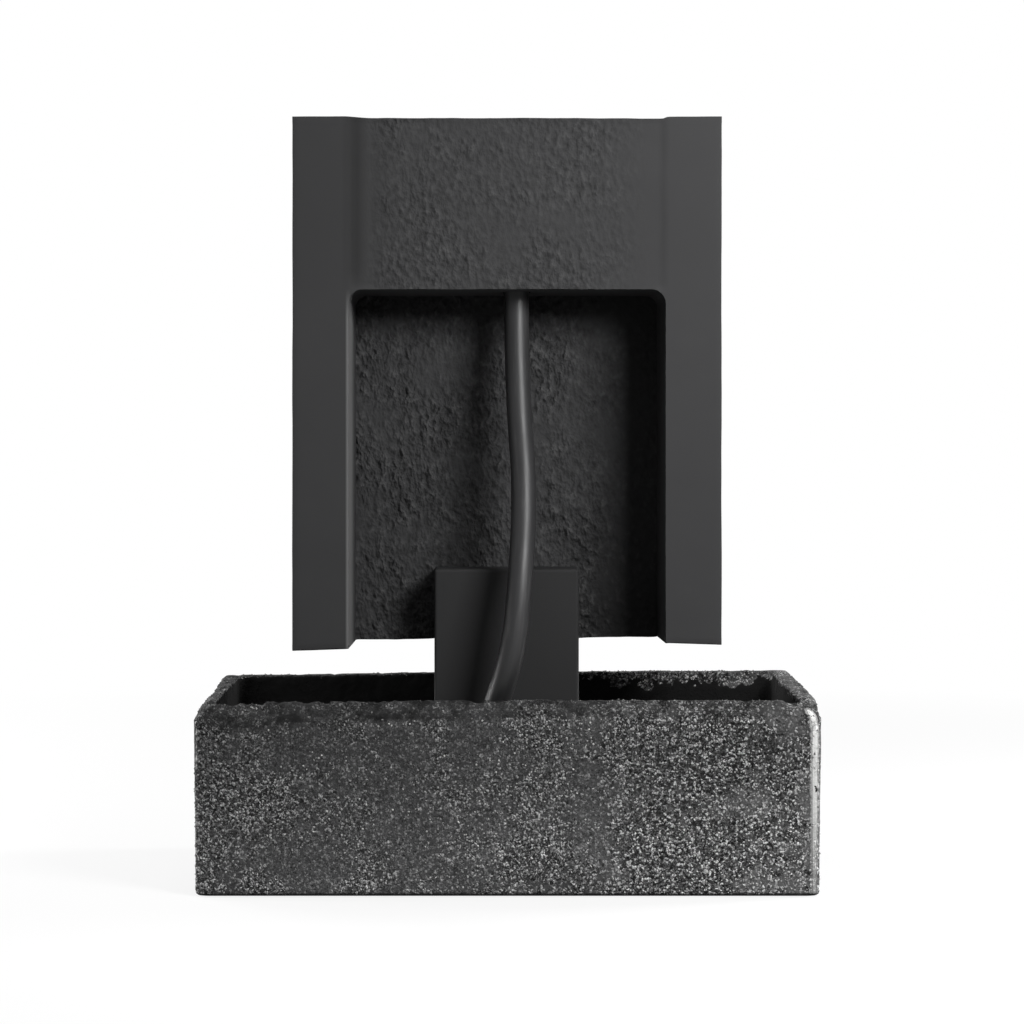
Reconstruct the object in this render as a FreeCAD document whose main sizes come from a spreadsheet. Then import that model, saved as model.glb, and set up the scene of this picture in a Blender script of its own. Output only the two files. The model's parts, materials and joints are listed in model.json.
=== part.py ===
"""Garden wall fountain: a cast stone basin, a pedestal and a wall panel with a weir spout,
fed by a small submersible pump through a hose that hangs in the panel's open back.

Millimetres. +Z is up, +Y is the side where the water falls, -Y the open back with the hose.
The origin is the centre of the basin's underside.
"""
import FreeCAD, Part
import Sketcher
import math
import os
import re

Vector = FreeCAD.Vector

# Driving dimensions, in millimetres and degrees
SIZES = {
    # Basin
    "basin_width": 622,
    "basin_depth": 350,
    "basin_height": 192.5,
    "basin_wall": 20,
    "basin_floor": 25,
    "basin_draft": 0.6,
    "cavity_draft": 1.5,
    "basin_corner": 8,
    "cavity_corner": 14,
    "cavity_foot": 9,
    "rim_bevel": 13,
    # Drain and its stopper
    "drain_offset": 190,
    "drain_setback": 95,
    "drain_radius": 15,
    "drain_draft": 6,
    "stopper_clearance": 0.2,
    "stopper_lift": 2,
    "stopper_flange": 23,
    "stopper_flange_height": 4,
    "stopper_stem": 5,
    "stopper_knob": 9,
    "stopper_height": 20,
    # Rubber pads under the pedestal and between it and the panel
    "pad_thickness": 2,
    "foot_pad_size": 26,
    "foot_pad_inset": 6,
    "ledge_pad_length": 34,
    "ledge_pad_depth": 22,
    "ledge_pad_offset": 46,
    "back_pad_height": 46,
    "back_pad_lift": 16,
    # Pedestal
    "pedestal_width": 148,
    "pedestal_edge": 3,
    "ledge_height": 214,
    "ledge_depth": 35,
    "upstand_depth": 60,
    "upstand_height": 77,
    # Wall panel
    "panel_width": 433,
    "panel_height": 534,
    "panel_depth": 140,
    "panel_front": 25,
    "panel_edge": 4,
    "plate_thickness": 28,
    "recess_width": 320,
    "recess_height": 360,
    "recess_corner": 15,
    "recess_draft": 1.5,
    "struck_depth": 1.5,
    "struck_inset": 58,
    # Weir spout
    "spout_width": 220,
    "spout_height": 44,
    "spout_sill": 40,
    "sheet_thickness": 1.5,
    "pocket_clearance": 2,
    "flange_width": 12,
    "gasket_thickness": 1.5,
    "lip_reach": 35,
    "lip_drop": 3,
    "cheek_height": 11,
    "inlet_setback": 83,
    "inlet_offset": 10,
    "inlet_margin": 20,
    "baffle_setback": 45,
    "baffle_height": 30,
    "baffle_foot": 12,
    "baffle_notch": 8,
    "baffle_notch_height": 6,
    "baffle_notches": 11,
    "baffle_pitch": 18,
    "spout_screw": 2,
    "spout_screw_length": 24,
    "spout_screw_head": 4,
    "spout_screw_inset": 6,
    # Tailpiece, nut and washer under the spout
    "shank_radius": 10.4,
    "inlet_bore": 6,
    "head_radius": 15,
    "head_thickness": 3,
    "washer_thickness": 2,
    "nut_height": 8,
    "nut_flats": 30,
    "shank_shoulder": 4,
    "nut_recess_radius": 24,
    "nut_recess_depth": 11,
    # Hose and its ends
    "hose_outer": 25.4,
    "hose_bore": 19,
    "hose_hole_clearance": 1.9,
    "adapter_flats": 26,
    "barb_length": 24,
    "barb_rings": 3,
    "barb_step": 0.7,
    "fit_clearance": 0.05,
    # Pump
    "pump_gap": 15,
    "pump_width": 56,
    "pump_height": 52,
    "pump_corner": 10,
    "motor_back_wall": 8,
    "motor_edge": 2.5,
    "volute_wall": 6,
    "outlet_offset": -22,
    "outlet_setback": 11,
    "boss_radius": 10,
    "boss_height": 8,
    "boss_bore": 7.5,
    "outlet_bore": 5.5,
    "rotor_gap": 1.5,
    "magnet_end_gap": 5,
    "disc_gap": 2.5,
    "disc_back_gap": 3,
    "seal_land": 2.5,
    "seal_width": 2,
    "seal_thickness": 1.8,
    "seal_clearance": 0.1,
    "hub_radius": 5.5,
    "eye_radius": 10,
    "eye_half_angle": 28,
    "rim_length": 8,
    "rim_inset": 2,
    "rim_wall": 3,
    "peg_radius": 3,
    "peg_length": 5,
    "cover_screw": 1.5,
    "cover_screw_head": 2.8,
    "cover_screw_length": 30,
    "cover_screw_spread_y": 19.5,
    "cover_screw_spread_z": 17.5,
    "screw_clearance": 0.05,
    # Rotor
    "shaft_radius": 2,
    "running_clearance": 0.05,
    "push_clearance": 0.02,
    "front_bush_radius": 4,
    "front_bush_length": 4,
    "rear_bush_radius": 4.5,
    "rear_bush_length": 6,
    "end_float": 0.3,
    "sleeve_radius": 4,
    "magnet_radius": 11,
    "magnet_length": 34,
    "disc_radius": 14.5,
    "disc_thickness": 1.5,
    "vane_height": 12,
    "vane_thickness": 1.6,
    "vane_gap": 1.5,
    "vane_count": 6,
    # Flow dial and intake cover
    "blade_thickness": 1.5,
    "blade_radius": 10.6,
    "blade_half_angle": 29,
    "dial_stem": 4.5,
    "dial_knob": 8.7,
    "knob_length": 8,
    "grip_width": 3,
    "grip_height": 3,
    "cover_length": 37,
    "cover_wall": 1.7,
    "cover_front": 2,
    "slide_clearance": 0.3,
    "slot_width": 2.6,
    "slot_height": 32,
    "slot_pitch": 5,
    "slot_count": 6,
    # Suction cups and cord gland
    "cup_height": 8,
    "cup_radius": 9,
    "cup_neck": 3.5,
    "cup_peg_length": 4,
    "cup_front": 9,
    "cup_rear": 49,
    "cup_spread": 17,
    "gland_radius": 6,
    "gland_length": 10,
    "gland_bore": 3.2,
    "gland_height": 14,
    # Hose clamp
    "band_clearance": 0.1,
    "band_thickness": 0.9,
    "band_width": 9,
    "clamp_lift": 12,
    "housing_length": 13,
    "housing_depth": 7,
    "worm_radius": 2.2,
    "worm_head": 3.6,
    "worm_head_length": 5,
}

# Places worked out from the sizes, as expressions on the sheet
RECESS_FLOOR_Y = "(panel_front - plate_thickness)"
PANEL_REAR_Y = "(panel_front - panel_depth)"
UPSTAND_FRONT_Y = f"({RECESS_FLOOR_Y} - pad_thickness)"
UPSTAND_REAR_Y = f"({UPSTAND_FRONT_Y} - upstand_depth)"
PEDESTAL_FOOT_Z = "(basin_floor + pad_thickness)"
LEDGE_TOP_Z = f"({PEDESTAL_FOOT_Z} + ledge_height)"
UPSTAND_TOP_Z = f"({LEDGE_TOP_Z} + upstand_height)"
PANEL_BASE_Z = f"({LEDGE_TOP_Z} + pad_thickness)"
PANEL_TOP_Z = f"({PANEL_BASE_Z} + panel_height)"
CEILING_Z = f"({PANEL_BASE_Z} + recess_height)"
POCKET_BASE_Z = f"({CEILING_Z} + spout_sill)"
SPOUT_BASE_Z = f"({POCKET_BASE_Z} + pocket_clearance)"
SPOUT_TOP_Z = f"({SPOUT_BASE_Z} + spout_height)"
SPOUT_DEPTH = "(inlet_setback + inlet_margin)"
INLET_Y = "(panel_front - inlet_setback)"
FLANGE_BACK_Y = "(panel_front + gasket_thickness)"
HOSE_TOP_Z = f"({SPOUT_BASE_Z} - nut_height - shank_shoulder)"
HOSE_RADIUS = "(hose_outer / 2)"
STEM_RADIUS = "(hose_bore / 2 - fit_clearance)"
WELL_RADIUS = "(magnet_radius + rotor_gap)"
WELL_DEPTH = "(magnet_length + 2 * magnet_end_gap)"
MOTOR_LENGTH = f"({WELL_DEPTH} + rear_bush_length + motor_back_wall)"
CHAMBER_RADIUS = "(disc_radius + disc_gap)"
CHAMBER_DEPTH = "(vane_gap + vane_height + disc_thickness + disc_back_gap)"
VOLUTE_LENGTH = f"({CHAMBER_DEPTH} + volute_wall)"
SEAL_INNER = f"({CHAMBER_RADIUS} + seal_land)"
SEAL_OUTER = f"({SEAL_INNER} + seal_width)"
PUMP_X = "(outlet_offset + outlet_setback)"
PUMP_Y = f"({UPSTAND_REAR_Y} - pump_gap - pump_width / 2)"
PUMP_Z = "(basin_floor + cup_height + pump_height / 2)"
BOSS_TOP_Z = f"({PUMP_Z} + pump_height / 2 + boss_height)"
ADAPTER_FLANGE = "(boss_height * 5 / 8)"
HOSE_BOTTOM_Z = f"({BOSS_TOP_Z} + {ADAPTER_FLANGE})"
COVER_FRONT_X = f"(-{VOLUTE_LENGTH} - slide_clearance - cover_length)"

# The hose's route, from the spout's tailpiece down to the pump's outlet
HOSE_ROUTE = [
    (10, -58, 633),
    (10, -58, 572),
    (12, -74, 486),
    (18.5, -84, 400),
    (14, -118, 312),
    (6, -124, 234),
    (-22, -108, 152),
    (-22, -108, 98),
]
ARC_SHARE = 0.45

doc = FreeCAD.newDocument("wall_fountain")
sheet = doc.addObject("Spreadsheet::Sheet", "sizes")
for row, (alias, size) in enumerate(SIZES.items(), start=1):
    sheet.set(f"A{row}", alias)
    sheet.set(f"B{row}", str(size))
    sheet.setAlias(f"B{row}", alias)
doc.recompute()

nodes = {}


def bound(expression):
    """The expression with each size's name turned into its cell of the sheet."""
    return re.sub(r"[a-z_]+", lambda word: f"sizes.{word.group()}" if word.group() in SIZES else word.group(),
                  str(expression))


def value(expression):
    """The number that an expression on the sheet comes to."""
    return float(sheet.evalExpression(str(expression)))


def new_body(label, x="0", y="0", z="0"):
    """A body of its own place, whose label names its node."""
    body = doc.addObject("PartDesign::Body", f"{label}_body")
    body.Label = label
    for axis, place in zip("xyz", (x, y, z)):
        body.setExpression(f"Placement.Base.{axis}", bound(place))
    nodes[label] = body
    return body


def new_sketch(body, plane, offset="0"):
    """A sketch on one of the body's own planes, moved along the plane's normal."""
    sketch = body.newObject("Sketcher::SketchObject", f"{body.Label}_profile")
    support = next(datum for datum in body.Origin.OriginFeatures if datum.Role == f"{plane}_Plane")
    sketch.AttachmentSupport = [(support, "")]
    sketch.MapMode = "FlatFace"
    sketch.setExpression("AttachmentOffset.Base.z", bound(offset))
    return sketch


def hold(sketch, kind, edge, expression, end=None):
    """One dimension of a sketch, bound to the sheet."""
    args = (edge, value(expression)) if end is None else (edge, end, value(expression))
    index = sketch.addConstraint(Sketcher.Constraint(kind, *args))
    sketch.setExpression(f"Constraints[{index}]", bound(expression))


def outline(sketch, points, arcs=None):
    """A closed outline through points; arcs maps an edge's number to its centre and radius."""
    arcs = arcs or {}
    first = sketch.GeometryCount
    count = len(points)
    places = [Vector(value(x), value(y), 0) for x, y in points]
    for number, start in enumerate(places):
        end = places[(number + 1) % count]
        if number in arcs:
            centre_x, centre_y, radius = arcs[number]
            centre = Vector(value(centre_x), value(centre_y), 0)
            circle = Part.Circle(centre, Vector(0, 0, 1), value(radius))
            angles = [math.atan2(tip.y - centre.y, tip.x - centre.x) for tip in (start, end)]
            sketch.addGeometry(Part.ArcOfCircle(circle, *angles), False)
        else:
            sketch.addGeometry(Part.LineSegment(start, end), False)
    for number, (x, y) in enumerate(points):
        edge = first + number
        sketch.addConstraint(Sketcher.Constraint("Coincident", edge, 2, first + (number + 1) % count, 1))
        hold(sketch, "DistanceX", edge, x, end=1)
        hold(sketch, "DistanceY", edge, y, end=1)
        if number in arcs:
            hold(sketch, "Radius", edge, arcs[number][2])


def box_outline(sketch, left, bottom, right, top):
    """A rectangle."""
    outline(sketch, [(left, bottom), (right, bottom), (right, top), (left, top)])


def round_box_outline(sketch, half_width, half_height, radius):
    """A rectangle about the sketch's origin, with round corners."""
    points = []
    arcs = {}
    for side_x, side_y in ((1, -1), (1, 1), (-1, 1), (-1, -1)):
        edge_x = (f"{side_x} * ({half_width})", f"{side_y} * ({half_height} - {radius})")
        edge_y = (f"{side_x} * ({half_width} - {radius})", f"{side_y} * ({half_height})")
        centre = (edge_y[0], edge_x[1], radius)
        arcs[len(points)] = centre
        points += [edge_y, edge_x] if side_x * side_y < 0 else [edge_x, edge_y]
    outline(sketch, points, arcs)


def disc_outline(sketch, x, y, radius):
    """A circle."""
    edge = sketch.GeometryCount
    centre = Vector(value(x), value(y), 0)
    sketch.addGeometry(Part.Circle(centre, Vector(0, 0, 1), value(radius)), False)
    hold(sketch, "Radius", edge, radius)
    hold(sketch, "DistanceX", edge, x, end=3)
    hold(sketch, "DistanceY", edge, y, end=3)


def ring_outline(sketch, outer, inner):
    """Two circles about the sketch's origin."""
    disc_outline(sketch, "0", "0", outer)
    disc_outline(sketch, "0", "0", inner)


def hexagon_outline(sketch, flats, hole):
    """A hexagon about the sketch's origin, with a round hole."""
    corner = f"({flats} / 2 / cos(30))"
    outline(sketch, [(f"{corner} * cos({angle})", f"{corner} * sin({angle})")
                     for angle in range(0, 360, 60)])
    disc_outline(sketch, "0", "0", hole)


def extrude(kind, sketch, length, back=False, both=False, taper="0"):
    """A pad or a pocket of a sketch, bound to the sheet; a pocket that cuts nothing is refused."""
    body = sketch.getParentGeoFeatureGroup()
    doc.recompute()
    before = body.Shape.Volume if body.Tip else 0
    feature = body.newObject(f"PartDesign::{kind}", f"{body.Label}_{kind.lower()}")
    feature.Profile = sketch
    feature.setExpression("Length", bound(length))
    feature.Reversed = back
    feature.Midplane = both
    if taper != "0":
        feature.setExpression("TaperAngle", bound(taper))
    doc.recompute()
    if kind == "Pocket" and body.Shape.Volume > before - 1:
        raise ValueError(f"a pocket of {body.Label} cuts nothing")
    return feature


def pad(sketch, length, **settings):
    return extrude("Pad", sketch, length, **settings)


def pocket(sketch, length, **settings):
    return extrude("Pocket", sketch, length, **settings)


def revolve(sketch, axis):
    """A full turn of a sketch about one of the sketch's own axes, H_Axis or V_Axis."""
    body = sketch.getParentGeoFeatureGroup()
    feature = body.newObject("PartDesign::Revolution", f"{body.Label}_turned")
    feature.Profile = sketch
    feature.ReferenceAxis = (sketch, [axis])
    feature.Angle = 360
    doc.recompute()
    return feature


def repeat_round(feature, count):
    """Copies of a feature spread evenly round the body's X axis."""
    body = feature.getParentGeoFeatureGroup()
    pattern = body.newObject("PartDesign::PolarPattern", f"{body.Label}_round")
    pattern.Originals = [feature]
    axis = next(datum for datum in body.Origin.OriginFeatures if datum.Role == "X_Axis")
    pattern.Axis = (axis, [""])
    pattern.Angle = 360
    pattern.setExpression("Occurrences", bound(count))
    body.Tip = pattern
    doc.recompute()
    return pattern


def repeat_along(feature, pitch, count, back=False):
    """Copies of a feature in a row along the body's X axis."""
    body = feature.getParentGeoFeatureGroup()
    pattern = body.newObject("PartDesign::LinearPattern", f"{body.Label}_row")
    pattern.Originals = [feature]
    axis = next(datum for datum in body.Origin.OriginFeatures if datum.Role == "X_Axis")
    pattern.Direction = (axis, [""])
    pattern.Reversed = back
    pattern.setExpression("Length", bound(f"({pitch}) * ({count} - 1)"))
    pattern.setExpression("Occurrences", bound(count))
    body.Tip = pattern
    doc.recompute()
    return pattern


def dress(kind, body, size, chosen):
    """A fillet or a chamfer on the edges that the test picks."""
    doc.recompute()
    base = body.Tip
    names = [f"Edge{number}" for number, edge in enumerate(base.Shape.Edges, start=1) if chosen(edge)]
    if not names:
        raise ValueError(f"no edge of {body.Label} to dress")
    feature = body.newObject(f"PartDesign::{kind}", f"{body.Label}_{kind.lower()}")
    feature.Base = (base, names)
    feature.setExpression("Radius" if kind == "Fillet" else "Size", bound(size))
    doc.recompute()
    return feature


def near(first, second, reach=0.05):
    return abs(first - second) < reach


def middle(edge):
    """The point halfway along an edge."""
    return edge.valueAt((edge.FirstParameter + edge.LastParameter) / 2)


def runs_along(edge, axis):
    """True for a straight edge that lies within a few degrees of an axis."""
    start, end = edge.valueAt(edge.FirstParameter), edge.valueAt(edge.LastParameter)
    step = end - start
    return edge.Curve.TypeId == "Part::GeomLine" and abs(getattr(step, axis)) > 0.9 * step.Length


def make_basin():
    """A rectangular trough with drafted walls, a bevelled rim and a tapered drain hole."""
    body = new_body("basin")
    half_width, half_depth = value("basin_width / 2"), value("basin_depth / 2")
    block = new_sketch(body, "XY", "basin_height")
    box_outline(block, "-basin_width / 2", "-basin_depth / 2", "basin_width / 2", "basin_depth / 2")
    pad(block, "basin_height", back=True, taper="-basin_draft")
    top = value("basin_height")
    dress("Chamfer", body, "rim_bevel", lambda edge: near(middle(edge).z, top))
    outside = min(half_width, half_depth) / 2
    dress("Fillet", body, "basin_corner", lambda edge: not runs_along(edge, "x") and not runs_along(edge, "y")
          and abs(middle(edge).x) > outside)
    cavity = new_sketch(body, "XY", "basin_height")
    round_box_outline(cavity, "basin_width / 2 - basin_wall", "basin_depth / 2 - basin_wall", "cavity_corner")
    pocket(cavity, "basin_height - basin_floor", taper="-cavity_draft")
    floor = value("basin_floor")
    dress("Fillet", body, "cavity_foot", lambda edge: near(middle(edge).z, floor))
    drain = new_sketch(body, "XY")
    disc_outline(drain, "drain_offset", "-drain_setback", "drain_radius")
    pocket(drain, "basin_floor", back=True, taper="drain_draft")


def make_drain_stopper():
    """A tapered rubber plug with a flange and a knob to pull it by."""
    body = new_body("drain_stopper", x="drain_offset", y="-drain_setback")
    narrow = "(drain_radius + stopper_lift * tan(drain_draft) - stopper_clearance)"
    wide = "(drain_radius + basin_floor * tan(drain_draft) - stopper_clearance)"
    flange_top = "(basin_floor + stopper_flange_height)"
    knob_base = "(basin_floor + stopper_height - stopper_flange_height)"
    knob_top = "(basin_floor + stopper_height)"
    profile = new_sketch(body, "XZ")
    outline(profile, [
        ("0", "stopper_lift"), (narrow, "stopper_lift"), (wide, "basin_floor"),
        ("stopper_flange", "basin_floor"), ("stopper_flange", flange_top), ("stopper_stem", flange_top),
        ("stopper_stem", knob_base), ("stopper_knob", knob_base), ("stopper_knob", knob_top), ("0", knob_top),
    ])
    revolve(profile, "V_Axis")


def make_pedestal():
    """A cast block with a ledge in front, which carries the panel, and an upstand behind it."""
    body = new_body("pedestal")
    front = f"({UPSTAND_FRONT_Y} + ledge_depth)"
    profile = new_sketch(body, "YZ")
    outline(profile, [
        (UPSTAND_REAR_Y, PEDESTAL_FOOT_Z), (front, PEDESTAL_FOOT_Z), (front, LEDGE_TOP_Z),
        (UPSTAND_FRONT_Y, LEDGE_TOP_Z), (UPSTAND_FRONT_Y, UPSTAND_TOP_Z), (UPSTAND_REAR_Y, UPSTAND_TOP_Z),
    ])
    pad(profile, "pedestal_width", both=True)
    rear, top = value(UPSTAND_REAR_Y), value(UPSTAND_TOP_Z)
    dress("Fillet", body, "pedestal_edge",
          lambda edge: runs_along(edge, "z") and near(middle(edge).y, rear)
          or near(middle(edge).z, top))


def make_wall_panel():
    """A front plate with a rib down each side and a solid head, cast in one piece."""
    body = new_body("wall_panel")
    block = new_sketch(body, "XZ", "-panel_front")
    box_outline(block, "-panel_width / 2", PANEL_BASE_Z, "panel_width / 2", PANEL_TOP_Z)
    pad(block, "panel_depth")
    rear, front = value(PANEL_REAR_Y), value("panel_front")
    dress("Fillet", body, "panel_edge",
          lambda edge: near(middle(edge).y, rear) or runs_along(edge, "y") or near(middle(edge).y, front))

    struck = new_sketch(body, "XZ", f"-({PANEL_REAR_Y})")
    side = "(panel_width / 2 - struck_inset)"
    box_outline(struck, f"-{side}", CEILING_Z, side, f"{PANEL_TOP_Z} + panel_edge")
    pocket(struck, "struck_depth")

    mouth, floor = [recess_outline(body, y, inset) for y, inset in (
        (PANEL_REAR_Y, "0"), (RECESS_FLOOR_Y, "((panel_depth - plate_thickness) * tan(recess_draft))"))]
    recess = body.newObject("PartDesign::SubtractiveLoft", "wall_panel_recess")
    recess.Profile = mouth
    recess.Sections = [floor]
    recess.Ruled = True
    doc.recompute()

    spout = new_sketch(body, "XZ", "-panel_front")
    reach = "(spout_width / 2 + pocket_clearance)"
    box_outline(spout, f"-{reach}", POCKET_BASE_Z, reach, f"{SPOUT_TOP_Z} + pocket_clearance")
    pocket(spout, f"{SPOUT_DEPTH} + pocket_clearance", back=True)

    hose_way = new_sketch(body, "XY", f"{CEILING_Z} - recess_corner")
    disc_outline(hose_way, "inlet_offset", INLET_Y, f"{HOSE_RADIUS} + hose_hole_clearance")
    pocket(hose_way, "spout_sill + recess_corner", back=True)
    nut_recess = new_sketch(body, "XY", POCKET_BASE_Z)
    disc_outline(nut_recess, "inlet_offset", INLET_Y, "nut_recess_radius")
    pocket(nut_recess, "nut_recess_depth")

    screws = new_sketch(body, "XZ", "-panel_front")
    for x, z in spout_screw_places():
        disc_outline(screws, x, z, "spout_screw + screw_clearance")
    pocket(screws, "spout_screw_length", back=True)


def recess_outline(body, y, inset):
    """The recess's outline on one plane: open below, with two round corners above."""
    sketch = new_sketch(body, "XZ", f"-({y})")
    half, inner = f"(recess_width / 2 - {inset})", "(recess_width / 2 - recess_corner)"
    low, shoulder = f"({PANEL_BASE_Z} - recess_corner)", f"({CEILING_Z} - recess_corner)"
    radius = f"(recess_corner - {inset})"
    top = f"({CEILING_Z} - {inset})"
    outline(sketch, [(f"-{half}", low), (half, low), (half, shoulder), (inner, top),
                     (f"-{inner}", top), (f"-{half}", shoulder)],
            {2: (inner, shoulder, radius), 4: (f"-{inner}", shoulder, radius)})
    return sketch


def spout_screw_places():
    """The spout's four screws, as X and Z, in the corners of its flange."""
    reach = "(spout_width / 2 + flange_width - spout_screw_inset)"
    low = f"({SPOUT_BASE_Z} - flange_width + spout_screw_inset)"
    high = f"({SPOUT_TOP_Z} + flange_width - spout_screw_inset)"
    return [(x, z) for x in (reach, f"-{reach}") for z in (low, high)]


def make_spout_box():
    """A folded sheet metal box with an open front, a flange round it and a weir lip with cheeks."""
    body = new_body("spout_box")
    half, inner_half = "(spout_width / 2)", "(spout_width / 2 - sheet_thickness)"
    inner_low, inner_high = f"({SPOUT_BASE_Z} + sheet_thickness)", f"({SPOUT_TOP_Z} - sheet_thickness)"
    box = new_sketch(body, "XZ", f"-({FLANGE_BACK_Y})")
    box_outline(box, f"-{half}", SPOUT_BASE_Z, half, SPOUT_TOP_Z)
    pad(box, f"{SPOUT_DEPTH} + gasket_thickness")

    flange = new_sketch(body, "XZ", f"-({FLANGE_BACK_Y} + sheet_thickness)")
    box_outline(flange, f"-({half} + flange_width)", f"{SPOUT_BASE_Z} - flange_width",
                f"{half} + flange_width", f"{SPOUT_TOP_Z} + flange_width")
    pad(flange, "sheet_thickness")

    mouth = new_sketch(body, "XZ", f"-({FLANGE_BACK_Y} + sheet_thickness)")
    box_outline(mouth, f"-{inner_half}", inner_low, inner_half, inner_high)
    pocket(mouth, f"{SPOUT_DEPTH} + gasket_thickness", back=True)

    tip = f"({FLANGE_BACK_Y} + sheet_thickness + lip_reach)"
    root = f"({FLANGE_BACK_Y})"
    lip = new_sketch(body, "YZ")
    outline(lip, [(root, SPOUT_BASE_Z), (tip, f"{SPOUT_BASE_Z} - lip_drop"),
                  (tip, f"{inner_low} - lip_drop"), (root, inner_low)])
    pad(lip, "spout_width", both=True)

    for side, back in (("", True), ("-", False)):
        cheek = new_sketch(body, "YZ", f"{side}({half})")
        outline(cheek, [(root, SPOUT_BASE_Z), (tip, f"{SPOUT_BASE_Z} - lip_drop"),
                        (tip, f"{inner_low} - lip_drop + sheet_thickness"),
                        (root, f"{SPOUT_BASE_Z} + cheek_height")])
        pad(cheek, "sheet_thickness", back=back)

    inlet = new_sketch(body, "XY", SPOUT_BASE_Z)
    disc_outline(inlet, "inlet_offset", INLET_Y, "shank_radius + fit_clearance")
    pocket(inlet, "sheet_thickness", back=True)
    screws = new_sketch(body, "XZ", f"-({FLANGE_BACK_Y} + sheet_thickness)")
    for x, z in spout_screw_places():
        disc_outline(screws, x, z, "spout_screw + screw_clearance")
    pocket(screws, "sheet_thickness", back=True)


def make_spout_gasket():
    """A flat rubber frame between the flange and the panel."""
    body = new_body("spout_gasket")
    frame = new_sketch(body, "XZ", f"-({FLANGE_BACK_Y})")
    half = "(spout_width / 2)"
    box_outline(frame, f"-({half} + flange_width)", f"{SPOUT_BASE_Z} - flange_width",
                f"{half} + flange_width", f"{SPOUT_TOP_Z} + flange_width")
    reach = f"({half} + pocket_clearance / 2)"
    box_outline(frame, f"-{reach}", f"{SPOUT_BASE_Z} - pocket_clearance / 2", reach,
                f"{SPOUT_TOP_Z} + pocket_clearance / 2")
    for x, z in spout_screw_places():
        disc_outline(frame, x, z, "spout_screw + screw_clearance")
    pad(frame, "gasket_thickness")


def make_spout_screws():
    """Four pan head screws through the flange."""
    body = new_body("spout_screws")
    face = f"-({FLANGE_BACK_Y} + sheet_thickness)"
    shanks = new_sketch(body, "XZ", face)
    heads = new_sketch(body, "XZ", face)
    for x, z in spout_screw_places():
        disc_outline(shanks, x, z, "spout_screw")
        disc_outline(heads, x, z, "spout_screw_head")
    pad(shanks, "spout_screw_length")
    pad(heads, "spout_screw", back=True, taper="-20")


def make_spout_baffle():
    """An angle strip across the box with a row of notches, which spreads the water."""
    body = new_body("spout_baffle")
    width = "(spout_width - 2 * sheet_thickness - 2 * slide_clearance)"
    face = "(panel_front - baffle_setback)"
    base = f"({SPOUT_BASE_Z} + sheet_thickness)"
    profile = new_sketch(body, "YZ")
    outline(profile, [
        (f"{face} - baffle_foot", base), (face, base), (face, f"{base} + baffle_height"),
        (f"{face} - sheet_thickness", f"{base} + baffle_height"),
        (f"{face} - sheet_thickness", f"{base} + sheet_thickness"),
        (f"{face} - baffle_foot", f"{base} + sheet_thickness"),
    ])
    pad(profile, width, both=True)
    notch = new_sketch(body, "XZ", f"-({face})")
    left = "(-baffle_pitch * (baffle_notches - 1) / 2 - baffle_notch / 2)"
    low = f"({base} + sheet_thickness)"
    box_outline(notch, left, low, f"{left} + baffle_notch", f"{low} + baffle_notch_height")
    repeat_along(pocket(notch, "sheet_thickness", back=True), "baffle_pitch", "baffle_notches")


def barbed_stem(base, direction):
    """The outside of a barbed stem as points, from its free end back to its shoulder at base."""
    ring = "(barb_length / barb_rings)"
    points = []
    for number in range(SIZES["barb_rings"]):
        tip = f"({base} + {direction} * (barb_length - {number} * {ring}))"
        heel = f"({base} + {direction} * (barb_length - {number + 1} * {ring}))"
        points += [(f"{STEM_RADIUS} - barb_step", tip), (STEM_RADIUS, heel)]
    return points


def make_spout_tailpiece():
    """A turned inlet: a head inside the box, a shank through its floor and a barbed stem below."""
    body = new_body("spout_tailpiece", x="inlet_offset", y=INLET_Y)
    seat = f"({SPOUT_BASE_Z} + sheet_thickness + washer_thickness)"
    top = f"({seat} + head_thickness)"
    profile = new_sketch(body, "XZ")
    stem = barbed_stem(HOSE_TOP_Z, "-1")
    outline(profile, [("inlet_bore", top), ("inlet_bore", stem[0][1])] + stem + [
        ("shank_radius", HOSE_TOP_Z), ("shank_radius", seat), ("head_radius", seat), ("head_radius", top)])
    revolve(profile, "V_Axis")


def make_tailpiece_washer():
    """A rubber washer under the tailpiece's head."""
    body = new_body("tailpiece_washer", x="inlet_offset", y=INLET_Y,
                    z=f"{SPOUT_BASE_Z} + sheet_thickness")
    profile = new_sketch(body, "XY")
    ring_outline(profile, "head_radius", "shank_radius + fit_clearance")
    pad(profile, "washer_thickness")


def make_tailpiece_nut():
    """A hexagon nut that draws the tailpiece down from below."""
    body = new_body("tailpiece_nut", x="inlet_offset", y=INLET_Y, z=f"{SPOUT_BASE_Z} - nut_height")
    profile = new_sketch(body, "XY")
    hexagon_outline(profile, "nut_flats", "shank_radius + fit_clearance")
    pad(profile, "nut_height")


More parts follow.
